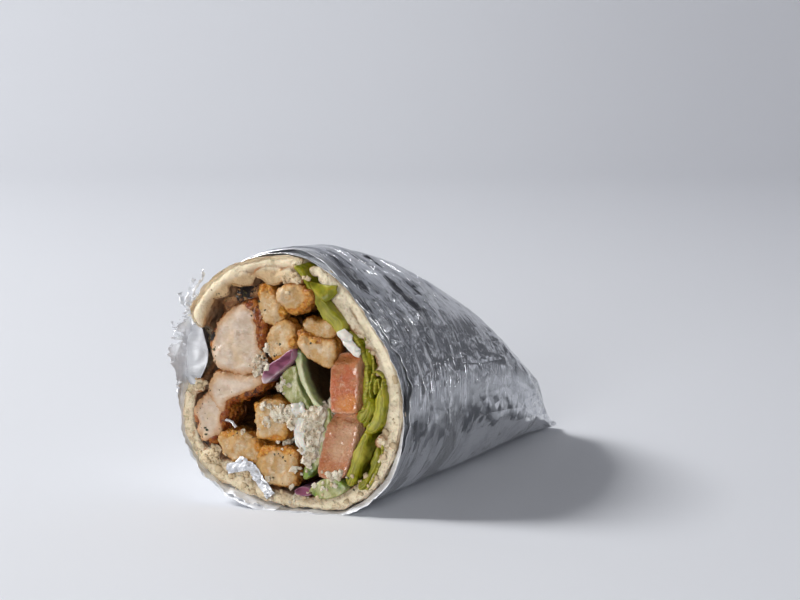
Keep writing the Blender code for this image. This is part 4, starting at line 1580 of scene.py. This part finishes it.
# %% Inner turn
INNER_WALL = 0.12
along = rim + steps
base = flared(skin(angle, along, 0.45), angle, along, 3.7)
curled = 2.7 * hump(angle, -36, 27) * smooth_step(along - start, 2.4, -0.4)
base[..., 0] += np.cos(angle) * curled
base[..., 2] += np.sin(angle) * curled
loose = hump(angle, 157, 26) * smooth_step(along, 7, -2)
relief = 0.12 * creased(around, along, (10, 1.8), 11)
relief += 0.9 * loose * creased(around, along, (2.6, 5.0), 12)
relief += 0.5 * loose * creased(around, along, (1.4, 2.2), 14)
relief += 0.5 * hump(angle, 255, 60) * smooth_step(along, 4, 0) * creased(around, along, (4.0, 1.6), 13)
relief += 0.8 * hump(angle, 40, 50) * smooth_step(along - start, 2.4, 0)
normal = surface_normals(base)
shell = base + normal * relief[..., None]
shell[..., 2] = np.maximum(shell[..., 2], 0.02)
rings = [shell[row] - normal[row] * INNER_WALL for row in range(len(shell))][::-1] + list(shell)
laid_along = list(along[::-1]) + list(along)
inner_turn = wrapped("foil_inner_turn", rings, [around[0]] * len(rings), laid_along, False)
frayed = hump(angle, 150, 27) * smooth_step(along - start - fray, 7.0, 0.5)
mark(inner_turn, "frayed", np.concatenate(list(frayed[::-1]) + list(frayed)))
edit(
    inner_turn,
    (bpy.ops.mesh.select_all, {"action": "DESELECT"}),
    (bpy.ops.mesh.select_non_manifold, {}),
    (bpy.ops.mesh.bridge_edge_loops, {}),
)
finished(inner_turn, None, FOIL)

# %% [markdown]
# ## Small things on the cut
# Crumbs of cheese and bread, flecks of herb, sauce and shreds of torn foil lie where
# the knife left them. Each crumb is a cube with its corners pushed about. It is
# dropped on the cut face along a ray, so that it rests on whatever piece is there.
# The sauce and the shreds are thin uneven sheets between two lines.

# %% Where the rays land
points, faces = [], []
for obj in PIECES:
    if "foil" in obj.name:
        continue
    first = len(points)
    points += points_of(obj).tolist()
    faces += [[first + corner for corner in polygon.vertices] for polygon in obj.data.polygons]
ground = BVHTree.FromPolygons(points, faces)
print("surface of", len(faces), "faces")


def landing(across, up, deepest=7.0):
    """The place and the normal of the surface straight behind a point of the cut face."""
    place, normal, _, _ = ground.ray_cast(Vector(on_cut(across, up, 20)), Vector((0, 1, 0)))
    if place is None or (FACE - np.array(place)) @ CUT_NORMAL > deepest:
        return None
    return place, normal if normal.y < 0 else -normal


# %% Scattering
bpy.ops.mesh.primitive_cube_add(size=1)
cube = bpy.context.object
edit(cube, (bpy.ops.mesh.subdivide, {"number_cuts": 1}))
BLOCK = points_of(cube) * MM
BLOCK /= np.linalg.norm(BLOCK, axis=1)[:, None] ** 0.35
BLOCK_FACES = [list(polygon.vertices) for polygon in cube.data.polygons]
bpy.data.objects.remove(cube)
print("one crumb has", len(BLOCK_FACES), "faces")


def scattered(name, material, seed, sizes, flatness, clusters, smooth=True):
    """Many small lumps as one mesh. A cluster is (across, up, spread across, spread up, count)."""
    pick = np.random.default_rng(seed)
    smallest, largest = sizes
    points, faces = [], []
    for across, up, wide, tall, count in clusters:
        for _ in range(count):
            # All the numbers are drawn before a miss is left out, so it changes no other lump.
            hit = landing(*pick.normal((across, up), (wide, tall)))
            size = smallest * (largest / smallest) ** pick.random() ** 1.4
            shape = BLOCK * (1 + pick.uniform(-0.4, 0.4, BLOCK.shape))
            shape = shape * pick.uniform(0.6, 1.25, 3) * size
            spin = Quaternion((0, 0, 1), pick.uniform(0, math.tau))
            tip = Euler(pick.uniform(-0.7, 0.7, 3) * flatness).to_quaternion()
            if hit is None:
                continue
            place, normal = hit
            turn = (normal.to_track_quat("Z", "Y") @ tip @ spin).to_matrix()
            shape[:, 2] *= flatness
            placed = shape @ np.array(turn).T + np.array(place + normal * size * flatness * 0.25)
            faces += [[corner + len(points) for corner in face] for face in BLOCK_FACES]
            points += placed.tolist()
    return finished(mesh_object(name, points, faces), None, material, smooth)


# %% Cheese crumbs
CRUMBS = (
    (-6.0, 12.5, 0.9, 1.3, 14),
    (-7.3, 9.3, 1.2, 1.6, 30),
    (-9.3, 6.6, 1.2, 1.2, 26),
    (-2.2, 0.6, 1.8, 1.0, 26),
    (-5.0, -6.2, 2.2, 1.0, 14),
    (-2.0, -7.5, 1.6, 1.5, 18),
    (-6.5, -10.5, 1.5, 1.2, 7),
    (2.5, -7.6, 2.6, 1.6, 40),
    (6.5, -9.0, 2.4, 2.4, 40),
    (2.5, -13.0, 1.6, 1.6, 14),
    (8.0, -14.5, 1.6, 3.4, 36),
    (6.5, -20.5, 1.2, 2.4, 18),
    (-1.5, -17.2, 1.6, 0.9, 10),
    (3.3, -27.0, 0.9, 1.6, 7),
    (15.5, -27.0, 2.6, 0.8, 16),
    (10.5, -30.0, 3.0, 1.2, 12),
    (-6.5, -31.0, 6.0, 1.0, 8),
    (3.5, -35.0, 5.0, 0.8, 8),
    (-12.5, -12.2, 1.6, 0.8, 5),
)
scattered("feta_crumbs", FETA, 5, (0.45, 1.7), 0.85, CRUMBS, smooth=False)
LUMPS = (
    (12.6, -5.6, 0.5, 0.9, 3),
    (9.5, -8.0, 0.9, 1.2, 4),
    (-9.8, 5.2, 0.5, 0.5, 2),
    (-3.4, -7.6, 0.8, 0.5, 3),
)
scattered("feta_lumps", FETA, 8, (1.9, 2.8), 0.9, LUMPS, smooth=False)

# %% Herbs
herb = Finish("dried_herb", roughness=0.6)
leafy = herb.mix((0.022, 0.030, 0.008), (0.10, 0.07, 0.02), herb.ease(herb.noise(2.0), 0.4, 0.6))
HERB = herb.paint(base_color=leafy)
FLECKS = (
    (-18, 29.5, 4.0, 1.4, 40),
    (-25, 13, 0.8, 3.0, 12),
    (-13, 24, 3.0, 3.0, 4),
    (-8, 10, 0.6, 3.0, 16),
    (-2.5, 14.5, 0.8, 2.6, 7),
    (9, 13, 3.5, 2.0, 4),
    (-20, -2, 5.0, 1.2, 8),
    (-29, -12, 1.2, 4.0, 12),
    (-3, -20.5, 3.2, 1.8, 6),
    (-2, -27, 3.0, 2.0, 3),
    (-17, -14.5, 4.0, 0.8, 6),
    (3, -13, 4.0, 5.0, 8),
    (0, -31, 12.0, 1.5, 8),
)
scattered("herb_flakes", HERB, 11, (0.22, 0.62), 0.35, FLECKS)

# %% Bread crumbs
bran = Finish("bread_crumb", roughness=0.8)
BRAN = bran.paint(base_color=bran.mix((0.50, 0.36, 0.20), (0.62, 0.50, 0.33), bran.noise(1.5)))
TORN = (
    (-30, 1.5, 1.5, 1.5, 10),
    (-26, -21, 2.5, 2.0, 26),
    (-18, -26, 3.5, 1.6, 22),
    (-8, -31, 5.0, 1.4, 18),
    (32, -17, 0.6, 3.0, 8),
    (27.5, 12, 1.6, 4.0, 7),
    (22, -29, 5.0, 2.0, 16),
    (2.5, 34, 2.5, 1.2, 16),
    (34, 0, 0.6, 10.0, 6),
    (8, -34.5, 8.0, 0.8, 16),
)
scattered("bread_crumbs", BRAN, 17, (0.5, 1.5), 0.8, TORN)

# %% [markdown]
# Sauce is smooth, white and a little see-through. A dab lies on the lettuce, and a
# smear fills the hollow beside the cheese. Each is an uneven sheet between two
# lines, thickened and softened.

# %% Sauce
sauce = Finish("white_sauce", roughness=0.35, subsurface_weight=0.3, subsurface_scale=0.003)
SAUCE = sauce.paint(base_color=sauce.mix((0.62, 0.58, 0.50), (0.74, 0.72, 0.66), sauce.noise(2.0)))
DAB_LEFT = [(17.4, 17.6), (18.7, 14.8), (20.6, 12.9), (22.6, 10.9), (24.3, 10.0)]
DAB_RIGHT = [(19.4, 18.4), (22.0, 16.6), (22.4, 14.6), (24.0, 13.0), (24.9, 10.9)]
shape = {"proud": 2.4, "rough": 1.4, "seed": 2.0, "thick": 1.2, "across": 9, "grain": 1.6}
dab = between("sauce_dab", DAB_LEFT, DAB_RIGHT, **shape)
finished(softened(dab), None, SAUCE)
SMEAR_LEFT = [(0.4, -5.2), (2.0, -9), (2.6, -15), (4.6, -20.5)]
SMEAR_RIGHT = [(4.6, -4.2), (6.8, -7), (6.4, -14), (6.4, -20)]
shape = {"proud": 1.6, "rough": 2.0, "seed": 6.0, "thick": 1.4, "across": 9, "grain": 1.8}
smear = between("sauce_smear", SMEAR_LEFT, SMEAR_RIGHT, **shape)
finished(softened(smear), None, SAUCE)

# %% [markdown]
# Where the foil was torn back, a sheet of it stands beside the bread, with loose
# wisps above it. One strip fell on the bread at the bottom. Single wisps are modelled,
# because a transparent pattern alone would have no thickness from the side.

# %% Torn sheet of foil
SHEET = 0.15  # thicker than real foil, so that it has two sides
TEAR_LEFT = [(-36.5, 25), (-37.6, 19), (-38.0, 12), (-37.2, 6), (-34.6, 1.0)]
TEAR_RIGHT = [(-31.0, 21.5), (-28.6, 10.5), (-31.0, 2.0), (-31.0, 2.2), (-31.6, 1.4)]
shape = {"proud": -0.4, "rough": 1.1, "seed": 9.0, "thick": SHEET, "across": 14, "grain": 4.5}
tear = between("foil_tear", TEAR_LEFT, TEAR_RIGHT, **shape)
tear = softened(dulled(tear))
mark(tear, "dull", np.ones(len(tear.data.vertices)))
# Painted shade: the torn sheet is darkened towards grey.
mark(tear, "dim", np.full(len(tear.data.vertices), 0.6))
finished(tear, None, FOIL_BITS)

# %% Shreds of foil
# Each is (its middle line, how wide, how proud, how rough).
STRIP = [(-19.6, -24.9), (-15.6, -24.2), (-11.9, -24.2), (-9.4, -27.3), (-7.2, -30.2), (-5.0, -33.4)]
SHREDS = (
    (STRIP, 3.2, 2.4, 1.0),
    ([(-15.6, -22.6), (-14.4, -21.4), (-12.9, -22.0), (-12.0, -23.6)], 1.3, 3.4, 0.8),
    ([(-20.4, -9.6), (-18.6, -10.4), (-17.0, -12.0)], 0.8, 2.0, 0.7),
    ([(-35.4, 3), (-36.4, 1.4), (-36.2, -1)], 0.9, 3.5, 1.2),
    ([(-32, 20.5), (-34.6, 26), (-34.2, 30.5), (-32.4, 35)], 1.3, 0.8, 1.8),
    ([(-33.4, 23), (-36.2, 27), (-37.2, 30.5)], 1.0, 1.2, 1.6),
    ([(-32.8, 27), (-32.6, 31), (-29.6, 35.5), (-30.2, 38)], 0.9, 0.4, 1.8),
    ([(-35, 14), (-38.4, 17.5), (-39.6, 21.5)], 1.0, 1.6, 1.6),
)
shreds = []
for index, (knots, width, proud, rough) in enumerate(SHREDS):
    line = np.array(knots, float)
    side = side_of(line) * width / 2
    shape = {"seed": index * 3.7, "thick": SHEET, "across": 7, "grain": 1.1}
    shred = between("shred", line - side, line + side, proud, rough, **shape)
    shreds.append(dulled(shred))
finished(join(shreds), None, FOIL_BITS, smooth=False).name = "foil_shreds"

# %% [markdown]
# ## Light and floor
# One large soft light stands on the left, so the roll's shadow falls to the right
# and the cut face is lit at a low angle, which brings out its relief. Foil shows
# nothing but its surroundings, so these matter: a dark card at the right, a darker
# ceiling, and a patchy room. The card shows only in the foil. The floor sweeps up
# into the background, and its colour is a little darker far away and to the right:
# painted shade, away from the key light.

# %% Sky
world = bpy.data.worlds.new("studio")
world.use_nodes = True
bpy.context.scene.world = world


class Sky(Finish):
    """The world's own nodes, written as sums in the same way."""

    def __init__(self, world):
        self.tree = world.node_tree


sky = Sky(world)
background = world.node_tree.nodes["Background"]
heading = sky.node("TexCoord", {}, {}, "Generated")
height = sky.node("SeparateXYZ", {}, {"Vector": heading}, "Z")
tone = sky.mix((0.40, 0.41, 0.44), (0.07, 0.07, 0.08), sky.ease(height, 0.45, 0.8))
elsewhere = sky.node("VectorMath", {"operation": "ADD"}, {0: heading, 1: (5.0, 2.0, 1.0)})
bright = sky.ease(sky.noise(0.5, 2, 0.5, heading), 0.54, 0.62)
dark = sky.ease(sky.noise(0.36, 2, 0.5, elsewhere), 0.54, 0.60)
tone = sky.mix(tone, (0.85, 0.87, 0.92), bright * 0.6)
tone = sky.mix(tone, (0.03, 0.03, 0.035), dark * 0.7)
seen = sky.node("LightPath", {}, {}, "Is Camera Ray")
tone = sky.mix(tone, (0.58, 0.60, 0.65), seen)
world.node_tree.links.new(tone.socket, background.inputs["Color"])
background.inputs["Strength"].default_value = 0.7
print("sky of", len(sky.tree.nodes), "nodes")

# %% [markdown]
# The key light is strong and stands far to the left and behind, the fill is weak and
# stands in front. Both are placed from the camera's own directions.

# %% Lights
left = -right
nearer = -Vector((toward.x, toward.y, 0)).normalized()


def soft_light(name, watts, size, source):
    """A square light that faces the roll. Its place is given in metres from the cut face."""
    data = bpy.data.lights.new(name, "AREA")
    data.energy, data.size = watts, size
    obj = bpy.data.objects.new(name, data)
    obj.location = Vector(FACE) * MM + source
    obj.rotation_euler = source.to_track_quat("Z", "Y").to_euler()
    bpy.context.scene.collection.objects.link(obj)
    print(name, "light at, mm:", (obj.location / MM).to_tuple(0))


soft_light("key", 60, 0.7, left * 1.8 - nearer * 0.5 + Vector((0, 0, 1.6)))
soft_light("fill", 23, 0.7, nearer * 2.0 + left * 0.6 + Vector((0, 0, 0.4)))

# %% [markdown]
# The floor is one sheet of pale paper: flat, then bent up on a wide quarter circle,
# so that no line shows where it turns into the background.

# %% Floor
paper = Finish("pale_sweep", roughness=0.7)
away = -nearer


def in_direction(arrow):
    """How far each point of the paper lies in a direction, in mm."""
    inputs = {0: paper.place, 1: tuple(arrow)}
    return paper.node("VectorMath", {"operation": "DOT_PRODUCT"}, inputs, "Value")


pale_blue = paper.mix((0.76, 0.775, 0.81), (0.78, 0.795, 0.83), paper.noise(180.0, 2))
# Painted shade: the paper darkens far away and to the right, away from the key light.
painted_far_shade = paper.ease(in_direction(away), -250, 1000)
pale_blue = paper.mix(pale_blue, (0.66, 0.675, 0.715), painted_far_shade * 0.75)
painted_right_shade = paper.ease(in_direction(right), -60, 420)
pale_blue = paper.mix(pale_blue, (0.60, 0.61, 0.655), painted_right_shade * 0.6)
PAPER = paper.paint(base_color=pale_blue)
FLAT, SWEEP_RADIUS, HIGH, HALF_FLOOR = 1200, 900, 4000, 4000  # in mm
profile = [(-3000, 0), (FLAT, 0)]
for a in np.linspace(0.06, math.pi / 2, 26):
    profile.append((FLAT + SWEEP_RADIUS * math.sin(a), SWEEP_RADIUS * (1 - math.cos(a))))
profile.append((FLAT + SWEEP_RADIUS, HIGH))
sides = (right * -HALF_FLOOR, right * HALF_FLOOR)
points = [away * far + side + Vector((0, 0, high)) for far, high in profile for side in sides]
faces = [[2 * i, 2 * i + 1, 2 * i + 3, 2 * i + 2] for i in range(len(profile) - 1)]
floor = mesh_object("floor", np.array(points), faces)
floor.data.materials.append(PAPER)
floor.data.shade_smooth()

# %% [markdown]
# The foil's right flank would be as bright as the floor without something dark to
# reflect. The card is hidden from the camera and casts no shadow.

# %% Dark card
dim = Finish("dark_card", roughness=0.9)
blotch = dim.ease(dim.noise(26.0, 2), 0.53, 0.62)
low = dim.ease(dim.node("SeparateXYZ", {}, {"Vector": dim.place}, "Z"), 45, 15)
shade = dim.mix((0.055, 0.057, 0.065), (0.26, 0.27, 0.29), low)
CARD = dim.paint(base_color=dim.mix(shade, (0.38, 0.39, 0.42), blotch))
CARD_CORNERS = [(26, 112, 1), (78, -75, 1), (290, 40, 190), (10, 200, 190)]
card = mesh_object("card", CARD_CORNERS, [[0, 1, 2, 3]])
card.data.materials.append(CARD)
card.visible_camera = card.visible_shadow = card.visible_diffuse = False

bpy.context.scene.view_settings.view_transform = "Standard"

# %% [markdown]
# ## Last
